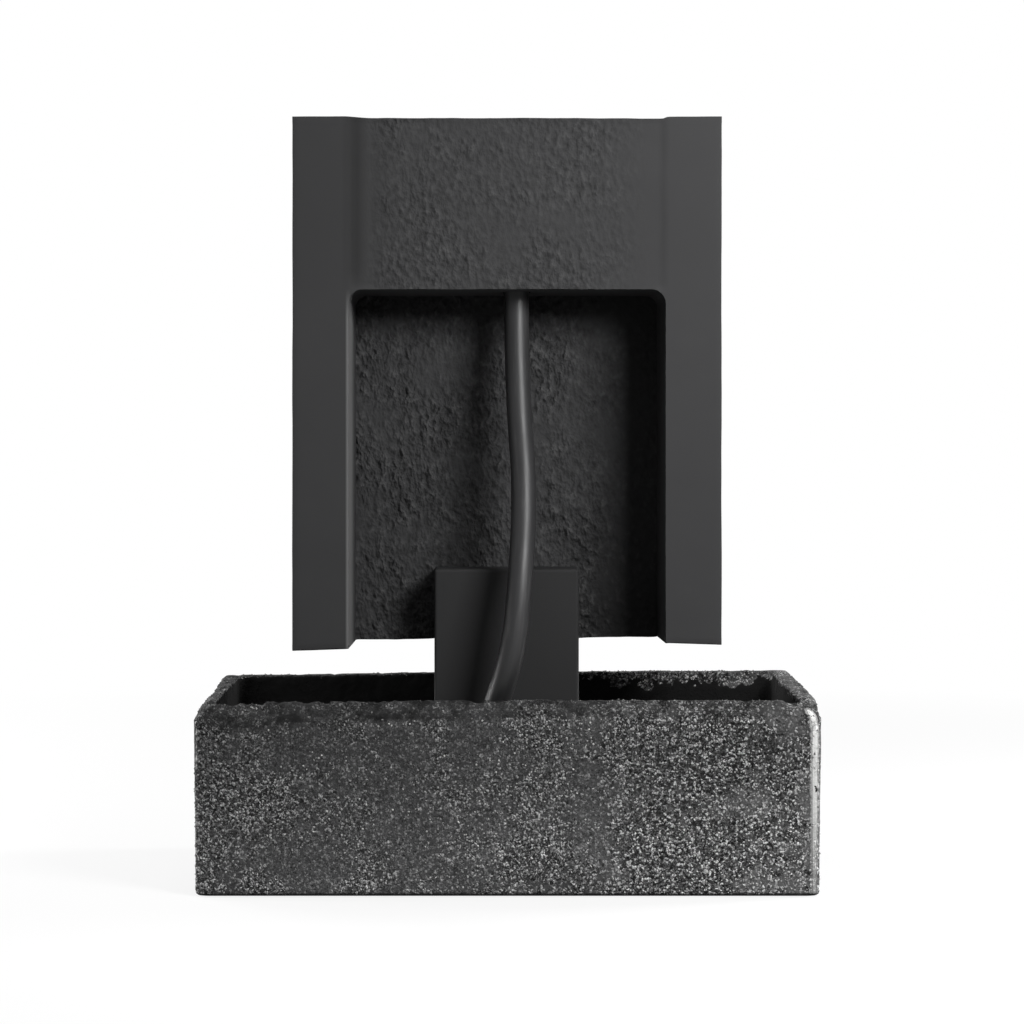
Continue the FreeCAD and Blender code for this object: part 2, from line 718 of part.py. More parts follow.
def make_rest_pads():
    """Rubber pads: four under the pedestal, two on its ledge and two on the upstand's face."""
    rear, front = UPSTAND_REAR_Y, f"({UPSTAND_FRONT_Y} + ledge_depth)"
    body = new_body("pedestal_pads")
    foot = new_sketch(body, "XY", "basin_floor")
    for side in ("", "-"):
        edges = sorted((f"{side}(pedestal_width / 2 - foot_pad_inset)",
                        f"{side}(pedestal_width / 2 - foot_pad_inset - foot_pad_size)"), key=value)
        box_outline(foot, edges[0], f"{rear} + foot_pad_inset", edges[1],
                    f"{rear} + foot_pad_inset + foot_pad_size")
        box_outline(foot, edges[0], f"{front} - foot_pad_inset - foot_pad_size", edges[1],
                    f"{front} - foot_pad_inset")
    pad(foot, "pad_thickness")

    body = new_body("ledge_pads")
    ledge = new_sketch(body, "XY", LEDGE_TOP_Z)
    plate_middle = f"({RECESS_FLOOR_Y} + plate_thickness / 2)"
    back = new_sketch(body, "XZ", f"-({RECESS_FLOOR_Y})")
    for side in ("", "-"):
        centre = f"({side}ledge_pad_offset)"
        left, right = f"{centre} - ledge_pad_length / 2", f"{centre} + ledge_pad_length / 2"
        box_outline(ledge, left, f"{plate_middle} - ledge_pad_depth / 2",
                    right, f"{plate_middle} + ledge_pad_depth / 2")
        box_outline(back, left, f"{LEDGE_TOP_Z} + back_pad_lift",
                    right, f"{LEDGE_TOP_Z} + back_pad_lift + back_pad_height")
    pad(ledge, "pad_thickness")
    pad(back, "pad_thickness")


def make_pump_body():
    """The motor's moulded block with the rotor's well, seats for its bush, screws and feet."""
    body = new_body("pump_body", x=PUMP_X, y=PUMP_Y, z=PUMP_Z)
    block = new_sketch(body, "YZ")
    round_box_outline(block, "pump_width / 2", "pump_height / 2", "pump_corner")
    pad(block, MOTOR_LENGTH)
    far = value(MOTOR_LENGTH)
    dress("Chamfer", body, "motor_edge", lambda edge: near(middle(edge).x, far))
    for radius, depth in ((WELL_RADIUS, WELL_DEPTH),
                          ("rear_bush_radius + push_clearance", f"{WELL_DEPTH} + rear_bush_length")):
        well = new_sketch(body, "YZ")
        disc_outline(well, "0", "0", radius)
        pocket(well, depth, back=True)
    screws = new_sketch(body, "YZ")
    for y, z in cover_screw_places():
        disc_outline(screws, y, z, "cover_screw + screw_clearance")
    pocket(screws, f"cover_screw_length - {VOLUTE_LENGTH}", back=True)
    pegs = new_sketch(body, "XY", "-pump_height / 2")
    for x, y in cup_places():
        disc_outline(pegs, x, y, "cup_neck + screw_clearance")
    pocket(pegs, "cup_peg_length", back=True)


def cover_screw_places():
    """The two screws of the pump's cover, in opposite corners, as Y and Z from the rotor's axis."""
    return [(f"{side}cover_screw_spread_y", f"{side}cover_screw_spread_z") for side in ("", "-")]


def cup_places():
    """The four suction cups, as X and Y from the rotor's axis at the pump's joint face."""
    return [(x, f"{y}(cup_spread)") for x in ("cup_front", "cup_rear") for y in ("", "-")]


def make_volute_cover():
    """The impeller's chamber: windows round a hub, a rim for the intake cover and an outlet boss."""
    body = new_body("volute_cover", x=PUMP_X, y=PUMP_Y, z=PUMP_Z)
    block = new_sketch(body, "YZ")
    round_box_outline(block, "pump_width / 2", "pump_height / 2", "pump_corner")
    pad(block, VOLUTE_LENGTH, back=True)
    rim = new_sketch(body, "YZ", f"-{VOLUTE_LENGTH}")
    for inset in ("rim_inset", "(rim_inset + rim_wall)"):
        round_box_outline(rim, f"pump_width / 2 - {inset}", f"pump_height / 2 - {inset}",
                          f"(pump_corner - {inset})")
    pad(rim, "rim_length", back=True)
    boss = new_sketch(body, "XY", "pump_height / 2")
    disc_outline(boss, "-outlet_setback", "0", "boss_radius")
    pad(boss, "boss_height")
    peg = new_sketch(body, "YZ", f"-{VOLUTE_LENGTH}")
    disc_outline(peg, "0", "0", "peg_radius")
    pad(peg, "peg_length", back=True)

    chamber = new_sketch(body, "YZ")
    disc_outline(chamber, "0", "0", CHAMBER_RADIUS)
    pocket(chamber, CHAMBER_DEPTH)
    groove = new_sketch(body, "YZ")
    ring_outline(groove, f"{SEAL_OUTER} + seal_clearance", f"{SEAL_INNER} - seal_clearance")
    pocket(groove, "seal_thickness")
    bush = new_sketch(body, "YZ", f"-{CHAMBER_DEPTH}")
    disc_outline(bush, "0", "0", "front_bush_radius + push_clearance")
    pocket(bush, "front_bush_length")
    window = new_sketch(body, "YZ", f"-{VOLUTE_LENGTH}")
    sector_outline(window, "hub_radius", "eye_radius", "eye_half_angle")
    repeat_round(pocket(window, f"{VOLUTE_LENGTH} - {CHAMBER_DEPTH}", back=True), "3")

    thread = new_sketch(body, "XY", "pump_height / 2 + boss_height")
    disc_outline(thread, "-outlet_setback", "0", "boss_bore")
    pocket(thread, "boss_height + boss_bore / 4")
    outlet = new_sketch(body, "XY", "pump_height / 2 + boss_height")
    disc_outline(outlet, "-outlet_setback", "0", "outlet_bore")
    pocket(outlet, f"pump_height / 2 + boss_height - {CHAMBER_RADIUS} * 3 / 4")
    for radius, depth in (("cover_screw + screw_clearance", VOLUTE_LENGTH),
                          ("cover_screw_head + screw_clearance", "cover_screw_head")):
        screws = new_sketch(body, "YZ", f"-{VOLUTE_LENGTH}")
        for y, z in cover_screw_places():
            disc_outline(screws, y, z, radius)
        pocket(screws, depth, back=True)


def sector_outline(sketch, inner, outer, half_angle):
    """A sector of a ring about the sketch's origin, centred on its first axis."""
    corners = [(radius, sign) for radius, sign in ((inner, "-"), (outer, "-"), (outer, ""), (inner, ""))]
    outline(sketch, [(f"{radius} * cos({half_angle})", f"{sign}({radius} * sin({half_angle}))")
                     for radius, sign in corners], {1: ("0", "0", outer)})


def make_cover_seal():
    """A flat rubber ring in the volute's groove."""
    body = new_body("cover_seal", x=PUMP_X, y=PUMP_Y, z=PUMP_Z)
    profile = new_sketch(body, "YZ")
    ring_outline(profile, SEAL_OUTER, SEAL_INNER)
    pad(profile, "seal_thickness", back=True)


def make_cover_screws():
    """Two screws through the volute into the motor's block."""
    body = new_body("cover_screws", x=PUMP_X, y=PUMP_Y, z=PUMP_Z)
    shanks = new_sketch(body, "YZ", f"cover_screw_head - {VOLUTE_LENGTH}")
    heads = new_sketch(body, "YZ", f"cover_screw_head - {VOLUTE_LENGTH}")
    for y, z in cover_screw_places():
        disc_outline(shanks, y, z, "cover_screw")
        disc_outline(heads, y, z, "cover_screw_head")
    pad(shanks, "cover_screw_length - cover_screw_head - screw_clearance")
    pad(heads, "cover_screw_head", back=True)


def make_impeller():
    """Straight vanes on a disc, with the sleeve that carries the magnet."""
    body = new_body("impeller", x=PUMP_X, y=PUMP_Y, z=PUMP_Z)
    front = f"(-{CHAMBER_DEPTH} + end_float)"
    rear = f"({WELL_DEPTH} - end_float)"
    disc_front = f"(-{CHAMBER_DEPTH} + vane_gap + vane_height)"
    bore = "(shaft_radius + running_clearance)"
    profile = new_sketch(body, "XZ")
    outline(profile, [
        (front, bore), (rear, bore), (rear, "sleeve_radius"),
        (f"{disc_front} + disc_thickness", "sleeve_radius"),
        (f"{disc_front} + disc_thickness", "disc_radius"), (disc_front, "disc_radius"),
        (disc_front, "hub_radius"), (front, "hub_radius"),
    ])
    revolve(profile, "H_Axis")
    vane = new_sketch(body, "YZ", disc_front)
    box_outline(vane, "sleeve_radius", "-vane_thickness / 2", "disc_radius - vane_thickness / 4",
                "vane_thickness / 2")
    repeat_round(pad(vane, "vane_height", back=True), "vane_count")


def make_rotor_magnet():
    """The ferrite tube pushed onto the impeller's sleeve."""
    body = new_body("rotor_magnet", x=PUMP_X, y=PUMP_Y, z=PUMP_Z)
    profile = new_sketch(body, "YZ", f"({WELL_DEPTH} - magnet_length) / 2")
    ring_outline(profile, "magnet_radius", "sleeve_radius + push_clearance")
    pad(profile, "magnet_length")


def make_rotor_shaft():
    """The fixed ceramic shaft that the rotor turns on."""
    front = f"(-{CHAMBER_DEPTH} - front_bush_length)"
    shaft = doc.addObject("Part::Cylinder", "rotor_shaft")
    shaft.setExpression("Radius", bound("shaft_radius"))
    shaft.setExpression("Height", bound(f"{WELL_DEPTH} + rear_bush_length - {front} - 2 * end_float"))
    shaft.Placement = FreeCAD.Placement(Vector(), FreeCAD.Rotation(Vector(0, 1, 0), 90))
    for axis, place in zip("xyz", (f"{PUMP_X} + {front} + end_float", PUMP_Y, PUMP_Z)):
        shaft.setExpression(f"Placement.Base.{axis}", bound(place))
    nodes["rotor_shaft"] = shaft


def make_bushes():
    """The rubber bushes that hold the shaft's ends."""
    for label, radius, length, start in (
            ("front_bush", "front_bush_radius", "front_bush_length", f"-{CHAMBER_DEPTH} - front_bush_length"),
            ("rear_bush", "rear_bush_radius", "rear_bush_length", WELL_DEPTH)):
        body = new_body(label, x=PUMP_X, y=PUMP_Y, z=PUMP_Z)
        profile = new_sketch(body, "YZ", start)
        ring_outline(profile, radius, "shaft_radius + push_clearance")
        pad(profile, length)


def make_flow_dial():
    """A three bladed shutter in front of the volute's windows, with a stem and a knob in front."""
    body = new_body("flow_dial", x=PUMP_X, y=PUMP_Y, z=PUMP_Z)
    rear = f"(-{VOLUTE_LENGTH} - slide_clearance)"
    blade_front = f"({rear} - blade_thickness)"
    socket = f"(-{VOLUTE_LENGTH} - peg_length - slide_clearance)"
    knob_rear = f"({COVER_FRONT_X} + cover_front)"
    tip = f"({knob_rear} - knob_length)"
    bore = "(peg_radius + running_clearance)"
    profile = new_sketch(body, "XZ")
    outline(profile, [
        (tip, "0"), (socket, "0"), (socket, bore), (rear, bore), (rear, "dial_stem + sheet_thickness / 2"),
        (blade_front, "dial_stem + sheet_thickness / 2"), (blade_front, "dial_stem"), (knob_rear, "dial_stem"),
        (knob_rear, "dial_knob"), (tip, "dial_knob"),
    ])
    revolve(profile, "H_Axis")
    blade = new_sketch(body, "YZ", blade_front)
    outline(blade, [
        ("-dial_stem * cos(blade_half_angle)", "dial_stem * sin(blade_half_angle)"),
        ("-blade_radius * cos(blade_half_angle)", "blade_radius * sin(blade_half_angle)"),
        ("-blade_radius * cos(blade_half_angle)", "-blade_radius * sin(blade_half_angle)"),
        ("-dial_stem * cos(blade_half_angle)", "-dial_stem * sin(blade_half_angle)"),
    ])
    repeat_round(pad(blade, "blade_thickness"), "3")
    grip = new_sketch(body, "YZ", tip)
    box_outline(grip, "-grip_width / 2", "-(dial_knob - grip_width / 2)", "grip_width / 2",
                "dial_knob - grip_width / 2")
    pad(grip, "grip_height", back=True)


def make_intake_cover():
    """A slotted strainer that slides over the volute's rim and clears the dial's knob."""
    body = new_body("intake_cover", x=PUMP_X, y=PUMP_Y, z=PUMP_Z)
    shell = new_sketch(body, "YZ", COVER_FRONT_X)
    round_box_outline(shell, "pump_width / 2", "pump_height / 2", "pump_corner")
    pad(shell, "cover_length")
    inset = "(rim_inset - slide_clearance)"
    hollow = new_sketch(body, "YZ", f"{COVER_FRONT_X} + cover_front")
    round_box_outline(hollow, f"pump_width / 2 - {inset}", f"pump_height / 2 - {inset}",
                      f"(pump_corner - {inset})")
    pocket(hollow, "cover_length - cover_front", back=True)
    front = new_sketch(body, "YZ", COVER_FRONT_X)
    disc_outline(front, "0", "0", "dial_knob + slide_clearance")
    pocket(front, "cover_front", back=True)
    first = f"({COVER_FRONT_X} + cover_front + slot_width)"
    slot = new_sketch(body, "XZ")
    outline(slot, [(first, "-slot_height / 2"), (f"{first} + slot_width", "-slot_height / 2"),
                   (f"{first} + slot_width", "slot_height / 2"), (first, "slot_height / 2")])
    repeat_along(pocket(slot, "pump_width + 2 * cover_wall", both=True), "slot_pitch", "slot_count")


def make_suction_cups():
    """Four rubber cups with pegs in the motor's underside."""
    body = new_body("suction_cups", x=PUMP_X, y=PUMP_Y, z=f"{PUMP_Z} - pump_height / 2")
    pegs = new_sketch(body, "XY")
    cones = new_sketch(body, "XY")
    flare = "atan((cup_radius - cup_neck) / cup_height)"
    for x, y in cup_places():
        disc_outline(pegs, x, y, "cup_neck")
        disc_outline(cones, x, y, "cup_neck")
    pad(pegs, "cup_peg_length - screw_clearance")
    pad(cones, "cup_height", back=True, taper=flare)


def make_cord_gland():
    """The moulded gland on the motor's end where the power cord goes in."""
    body = new_body("cord_gland", x=f"{PUMP_X} + {MOTOR_LENGTH}", y=PUMP_Y, z=f"{PUMP_Z} + gland_height")
    collar = new_sketch(body, "YZ")
    disc_outline(collar, "0", "0", "gland_radius")
    pad(collar, "gland_length", taper="-6")
    hole = new_sketch(body, "YZ", "gland_length")
    disc_outline(hole, "0", "0", "gland_bore")
    pocket(hole, "gland_length * 3 / 4")


def make_hose_adapter():
    """The threaded adapter on the pump's outlet, with a hexagon and a barbed stem."""
    body = new_body("hose_adapter", x="outlet_offset", y=PUMP_Y, z=BOSS_TOP_Z)
    profile = new_sketch(body, "XZ")
    stem = barbed_stem(ADAPTER_FLANGE, "1")
    spigot = "(boss_bore - fit_clearance)"
    outline(profile, [
        ("outlet_bore", "-boss_height"), (spigot, "-boss_height"), (spigot, ADAPTER_FLANGE),
    ] + stem[::-1] + [("outlet_bore", stem[0][1])])
    revolve(profile, "V_Axis")
    hexagon = new_sketch(body, "XY")
    hexagon_outline(hexagon, "adapter_flats", "outlet_bore")
    pad(hexagon, ADAPTER_FLANGE)


def make_hose_clamp():
    """A band round the hose's end with the worm screw's housing, and the screw."""
    inner = f"({HOSE_RADIUS} + band_clearance)"
    outer = f"({inner} + band_thickness)"
    place = {"x": "outlet_offset", "y": PUMP_Y, "z": f"{HOSE_BOTTOM_Z} + clamp_lift"}
    body = new_body("hose_clamp", **place)
    band = new_sketch(body, "XY", "-band_width / 2")
    ring_outline(band, outer, inner)
    pad(band, "band_width")
    housing = new_sketch(body, "XY", "-band_width / 2")
    box_outline(housing, "-housing_length / 2", f"-({inner} + housing_depth)", "housing_length / 2",
                f"-({inner} + band_thickness / 2)")
    pad(housing, "band_width")
    bore = new_sketch(body, "YZ", "-housing_length / 2")
    worm_y = f"-({outer} + housing_depth / 2 - band_thickness / 2)"
    disc_outline(bore, worm_y, "0", "worm_radius + screw_clearance")
    pocket(bore, "housing_length", back=True)

    body = new_body("clamp_screw", **place)
    shank = new_sketch(body, "YZ", "-housing_length / 2 - worm_radius")
    disc_outline(shank, worm_y, "0", "worm_radius")
    pad(shank, "housing_length + worm_radius")
    head = new_sketch(body, "YZ", "housing_length / 2")
    disc_outline(head, worm_y, "0", "worm_head")
    pad(head, "worm_head_length")


def hose_path():
    """The route as straight runs joined by tangent arcs, with its radii and its length printed."""
    points = [Vector(*place) for place in HOSE_ROUTE]
    edges, radii, start = [], [], points[0]
    for before, corner, after in zip(points, points[1:], points[2:]):
        inward, outward = (corner - before), (after - corner)
        run = min(inward.Length, outward.Length)
        inward.normalize()
        outward.normalize()
        half_turn = inward.getAngle(outward) / 2
        leg = ARC_SHARE * run
        radii.append(round(leg / math.tan(half_turn), 1))
        arc_start, arc_end = corner - inward * leg, corner + outward * leg
        towards = (outward - inward).normalize()
        apex = corner + towards * (radii[-1] * (1 / math.cos(half_turn) - 1))
        edges += [Part.LineSegment(start, arc_start).toShape(), Part.Arc(arc_start, apex, arc_end).toShape()]
        start = arc_end
    edges.append(Part.LineSegment(start, points[-1]).toShape())
    path = Part.Wire(edges)
    print(f"hose radii {radii}, length {path.Length:.1f}")
    return path


def make_supply_hose():
    """The vinyl hose, with its bore, from the spout's tailpiece to the pump."""
    path = hose_path()
    rings = [Part.Wire(Part.makeCircle(radius, Vector(*HOSE_ROUTE[0]), Vector(0, 0, -1)))
             for radius in (value(HOSE_RADIUS), value("hose_bore / 2"))]
    outside, bore = [path.makePipeShell([ring], True, True) for ring in rings]
    hose = doc.addObject("Part::Feature", "supply_hose")
    hose.Shape = outside.cut(bore)
    section = math.pi * (value(HOSE_RADIUS) ** 2 - value("hose_bore / 2") ** 2)
    print(f"hose volume {hose.Shape.Volume:.0f}, section times length {section * path.Length:.0f}")
    nodes["supply_hose"] = hose


for make in (make_basin, make_drain_stopper, make_pedestal, make_rest_pads, make_wall_panel, make_spout_box,
             make_spout_gasket, make_spout_screws, make_spout_baffle, make_spout_tailpiece,
             make_tailpiece_washer, make_tailpiece_nut, make_supply_hose, make_hose_clamp, make_hose_adapter,
             make_pump_body, make_volute_cover, make_cover_seal, make_cover_screws, make_impeller,
             make_rotor_magnet, make_rotor_shaft, make_bushes, make_flow_dial, make_intake_cover,
             make_suction_cups, make_cord_gland):
    make()

doc.recompute()
for item in doc.Objects:
    if {"Invalid", "Error"} & set(item.State):
        raise ValueError(f"{item.Label} failed: {item.State}")
for label, part in nodes.items():
    if part.Shape.isNull() or not part.Shape.isValid():
        raise ValueError(f"{label} has no valid shape")
os.makedirs("parts", exist_ok=True)
for label, part in nodes.items():
    part.Shape.exportStep(f"parts/{label}.step")
    print(f"{label}: {len(part.Shape.Solids)} solid(s), {part.Shape.Volume:.0f} mm3")
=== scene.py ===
"""Looks of the garden wall fountain: the rough basin, the hollow-backed panel, the pedestal,
the hose and the pump. Metres, in the part's own frame."""
import json
import math

import bpy
import numpy as np
from mathutils import Matrix, Vector, geometry, noise


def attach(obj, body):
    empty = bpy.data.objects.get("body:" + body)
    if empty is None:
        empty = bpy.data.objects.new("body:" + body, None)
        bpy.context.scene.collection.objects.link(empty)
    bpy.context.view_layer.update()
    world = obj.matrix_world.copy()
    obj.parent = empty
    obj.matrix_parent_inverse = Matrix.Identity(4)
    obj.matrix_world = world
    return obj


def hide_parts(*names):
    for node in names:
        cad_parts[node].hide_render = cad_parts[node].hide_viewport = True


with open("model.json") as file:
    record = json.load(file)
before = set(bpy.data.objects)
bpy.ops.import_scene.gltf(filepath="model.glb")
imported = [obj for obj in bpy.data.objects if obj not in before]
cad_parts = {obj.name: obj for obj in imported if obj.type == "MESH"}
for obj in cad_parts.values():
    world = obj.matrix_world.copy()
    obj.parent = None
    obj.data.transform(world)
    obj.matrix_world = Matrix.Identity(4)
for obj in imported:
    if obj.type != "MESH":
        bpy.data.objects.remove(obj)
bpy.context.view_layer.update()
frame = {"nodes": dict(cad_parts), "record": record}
cad_nodes = frame["nodes"]
scene = bpy.context.scene
scene.view_settings.view_transform = "Standard"


# Helpers
def add_object(name, data):
    made = bpy.data.objects.new(name, data)
    scene.collection.objects.link(made)
    return made


def weld(piece):
    """Joins points that lie on one another."""
    piece.modifiers.new("weld", "WELD").merge_threshold = 1e-5


def settle(piece):
    """Turns a piece with modifiers into a plain mesh."""
    graph = bpy.context.evaluated_depsgraph_get()
    mesh = bpy.data.meshes.new_from_object(piece.evaluated_get(graph), depsgraph=graph)
    piece.modifiers.clear()
    old, piece.data = piece.data, mesh
    mesh.name = piece.name
    bpy.data.meshes.remove(old)


def dress(piece, body, slot, *replaced, smooth=True):
    """Gives a piece the finish of its slot, puts it on its body and hides the nodes that it stands for."""
    piece.data.materials.clear()
    piece.data.materials.append(finishes[slot])
    piece.data.polygons.foreach_set("use_smooth", [smooth] * len(piece.data.polygons))
    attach(piece, body)
    if replaced:
        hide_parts(*replaced)


def new_mesh(name, points, faces):
    mesh = bpy.data.meshes.new(name)
    mesh.from_pydata(points, [], faces)
    return mesh


def mark_points(mesh, name, values):
    """Keeps a value on each point for the finish to read."""
    on_points = mesh.attributes.new(name, "FLOAT", "POINT").data
    on_points.foreach_set("value", values.astype(np.float32))


def quads(low, high, count):
    """Faces between two closed loops of points, each given by the number of its first point."""
    return [(low + spot, low + (spot + 1) % count, high + (spot + 1) % count, high + spot)
            for spot in range(count)]


def even_turns(count):
    """Angles that part a full turn evenly."""
    return np.linspace(0, 2 * math.pi, count, endpoint=False)


class Nodes:
    """Short ways to add nodes to a tree."""

    def __init__(self, tree, family="ShaderNode"):
        self.tree, self.family = tree, family

    def node(self, kind, inputs=None, **settings):
        """A node with its settings, and its inputs as numbers or links."""
        made = self.tree.nodes.new(kind if "Node" in kind else self.family + kind)
        for name, given in settings.items():
            setattr(made, name, given)
        for key, given in (inputs or {}).items():
            if isinstance(given, bpy.types.NodeSocket):
                self.tree.links.new(given, made.inputs[key])
            else:
                made.inputs[key].default_value = given
        return made

    def out(self, kind, inputs=None, **settings):
        """The first output of a new node."""
        return self.node(kind, inputs, **settings).outputs[0]

    def math(self, operation, *values):
        return self.out("ShaderNodeMath", dict(enumerate(values)), operation=operation)

    def times(self, first, second):
        return self.math("MULTIPLY", first, second)

    def between(self, value, low, high, start=0.0, end=1.0):
        """The value's way from low to high, as a share from start to end."""
        return self.out("MapRange", {0: value, 1: low, 2: high, 3: start, 4: end})


# Camera, level, with its frame moved down and to the right
def add_camera():
    lens = bpy.data.cameras.new("camera")
    lens.sensor_width = 36
    lens.lens = 107.64
    lens.shift_x = 0.0291
    lens.shift_y = -0.0971
    camera = add_object("camera", lens)
    camera.location = (-0.0250, -3.2, 0.4785)
    camera.rotation_euler = (math.pi / 2, 0, 0)
    scene.camera = camera


add_camera()

# The hose's route, from the spout's tailpiece down to the pump
HOSE_ROUTE = [
    (0.010, -0.058, 0.633),
    (0.010, -0.058, 0.572),
    (0.012, -0.074, 0.486),
    (0.0185, -0.084, 0.400),
    (0.014, -0.118, 0.312),
    (0.006, -0.124, 0.234),
    (-0.022, -0.108, 0.152),
    (-0.022, -0.108, 0.098),
]
HOSE_DIAMETER, HOSE_BORE, HOSE_LENGTH = 0.0254, 0.019, 0.548
HOSE_STEPS = 40
BARB_SWELLING, BARB_SPREAD, BARB_PLACES = 0.0005, 0.003, (0.104, 0.119)


def hose_line():
    """Points on the smooth spline that the route controls."""
    line = bpy.data.curves.new("hose_line", "CURVE")
    line.dimensions = "3D"
    spline = line.splines.new("NURBS")
    spline.points.add(len(HOSE_ROUTE) - 1)
    for point, place in zip(spline.points, HOSE_ROUTE):
        point.co = (*place, 1)
    spline.order_u = 3
    spline.use_endpoint_u = True
    spline.resolution_u = 24
    holder = add_object("hose_line", line)
    bpy.context.view_layer.update()
    mesh = bpy.data.meshes.new_from_object(holder)
    points = np.array([tuple(vertex.co) for vertex in mesh.vertices])
    bpy.data.meshes.remove(mesh)
    bpy.data.curves.remove(line)
    return points


def tube_rings(points, radii, steps):
    """Rings of points round a line, each turned as little as possible from the one before."""
    ahead = np.gradient(points, axis=0)
    ahead /= np.linalg.norm(ahead, axis=1)[:, None]
    side = np.array([1.0, 0.0, 0.0])
    turn = even_turns(steps)[:, None]
    rings = []
    for point, direction, radius in zip(points, ahead, radii):
        side = side - direction * side.dot(direction)
        side /= np.linalg.norm(side)
        rings.append(point + radius * (np.cos(turn) * side + np.sin(turn) * np.cross(direction, side)))
    return rings


def make_hose():
    """The hose's wall with its bore and cut ends, a little swollen over the barbs."""
    line, steps = hose_line(), HOSE_STEPS
    swelling = sum(np.exp(-((line[:, 2] - place) / BARB_SPREAD) ** 2) for place in BARB_PLACES)
    outside = tube_rings(line, HOSE_DIAMETER / 2 + BARB_SWELLING * swelling, steps)
    inside = tube_rings(line, np.full(len(line), HOSE_BORE / 2), steps)
    rings = outside + inside[::-1]
    count = len(rings)
    faces = [face for row in range(count)
             for face in quads(row * steps, (row + 1) % count * steps, steps)]
    mesh = new_mesh("vinyl_hose", np.concatenate(rings).tolist(), faces)
    run = np.concatenate([[0], np.cumsum(np.linalg.norm(np.diff(line, axis=0), axis=1))])
    run = np.repeat(np.concatenate([run, run[::-1]]), steps)
    turn = np.tile(even_turns(steps), count)
    wrap = np.column_stack([np.cos(turn) * HOSE_DIAMETER / 2, np.sin(turn) * HOSE_DIAMETER / 2, run])
    on_points = mesh.attributes.new("wrap", "FLOAT_VECTOR", "POINT").data
    on_points.foreach_set("vector", wrap.ravel().astype(np.float32))
    mesh.update()
    hose = add_object("vinyl_hose", mesh)
    dress(hose, "root", "black_vinyl", "supply_hose")


# The panel's faces and its recess
PANEL_BASE, PANEL_TOP, PANEL_REAR, PANEL_FRONT, PANEL_HALF = 0.243, 0.777, -0.115, 0.025, 0.2165
CEILING, RECESS_FLOOR, RECESS_HALF = 0.603, -0.003, 0.160

# The basin's sizes
BASIN_HALF_X, BASIN_HALF_Y, BASIN_HEIGHT = 0.311, 0.175, 0.1925
WALL, FLOOR_Z, FOOT_RADIUS = 0.020, 0.025, 0.009
OUTER_CORNER, CAVITY_CORNER = 0.008, 0.014
OUTER_DRAFT, CAVITY_DRAFT = math.tan(math.radians(0.6)), math.tan(math.radians(1.5))
DRAIN_PLACE, DRAIN_RADIUS, DRAIN_DRAFT = (0.190, -0.095), 0.015, math.tan(math.radians(6))


# Finishes
class Finish(Nodes):
    """A material built from a few nodes round one shader."""

    def __init__(self, name, color, roughness, metallic=0.0, specular=0.5):
        self.material = bpy.data.materials.new(name)
        self.material.use_nodes = True
        super().__init__(self.material.node_tree)
        self.surface = self.tree.nodes["Principled BSDF"]
        for label, value in (("Base Color", (*color, 1)), ("Roughness", roughness),
                             ("Metallic", metallic), ("Specular IOR Level", specular)):
            self.surface.inputs[label].default_value = value
        self.place = self.node("TexCoord").outputs["Object"]

    def noise(self, scale, detail=2.0, roughness=0.5, vector=None):
        """Smooth noise from 0 to 1; scale is in waves a metre."""
        return self.out("TexNoise", {"Vector": vector or self.place, "Scale": scale, "Detail": detail,
                                     "Roughness": roughness})

    def cells(self, scale, vector):
        """Cells with the distance from each one's middle and a chance colour each."""
        return self.node("TexVoronoi", {"Vector": vector, "Scale": scale})

    def vector(self, operation, first, second):
        return self.out("VectorMath", {0: first, 1: second}, operation=operation)

    def blend(self, share, first, second):
        """A mix of two colours, each a grey level, three levels or a socket."""
        first, second = [(tone,) * 3 if isinstance(tone, float) else tone for tone in (first, second)]
        first, second = [(*tone, 1) if isinstance(tone, tuple) else tone for tone in (first, second)]
        return self.node("Mix", {0: share, 6: first, 7: second}, data_type="RGBA").outputs[2]

    def ramp(self, value, *stops):
        """A colour ramp through grey stops, each a place and a level."""
        made = self.node("ValToRGB", {0: value})
        while len(made.color_ramp.elements) < len(stops):
            made.color_ramp.elements.new(0.5)
        for element, (where, level) in zip(made.color_ramp.elements, stops):
            element.position = where
            element.color = (level, level, level, 1)
        return made.outputs[0]

    def mark(self, name):
        """One of the piece's own values, kept on its points."""
        return self.node("Attribute", attribute_name=name).outputs["Fac"]

    def bump(self, height, distance, strength=1.0, under=None):
        inputs = {"Height": height, "Distance": distance, "Strength": strength}
        if under is not None:
            inputs["Normal"] = under
        return self.out("Bump", inputs)

    def use(self, color=None, roughness=None, normal=None):
        for name, socket in (("Base Color", color), ("Roughness", roughness), ("Normal", normal)):
            if socket is not None:
                self.tree.links.new(socket, self.surface.inputs[name])
        return self.material


# The basin's near corners, pale partly from wear and partly as a painted highlight: each one's place in
# plan, and where the pale strip starts and is full
WORN_AND_HIGHLIT_CORNERS = [((0.304, -0.1745, 0), 0.0050, 0.0025), ((-0.3087, -0.1735, 0), 0.0018, 0.0009)]
DARK_LINE_AWAY = 0.0030
LEAN_START, LEAN_GROWTH = 0.166, 17.0

# The basin's grains: cells a metre, and how far their outlines are swirled
COARSE_GRAINS, FINE_GRAINS, SWIRL = 410, 740, 0.0050


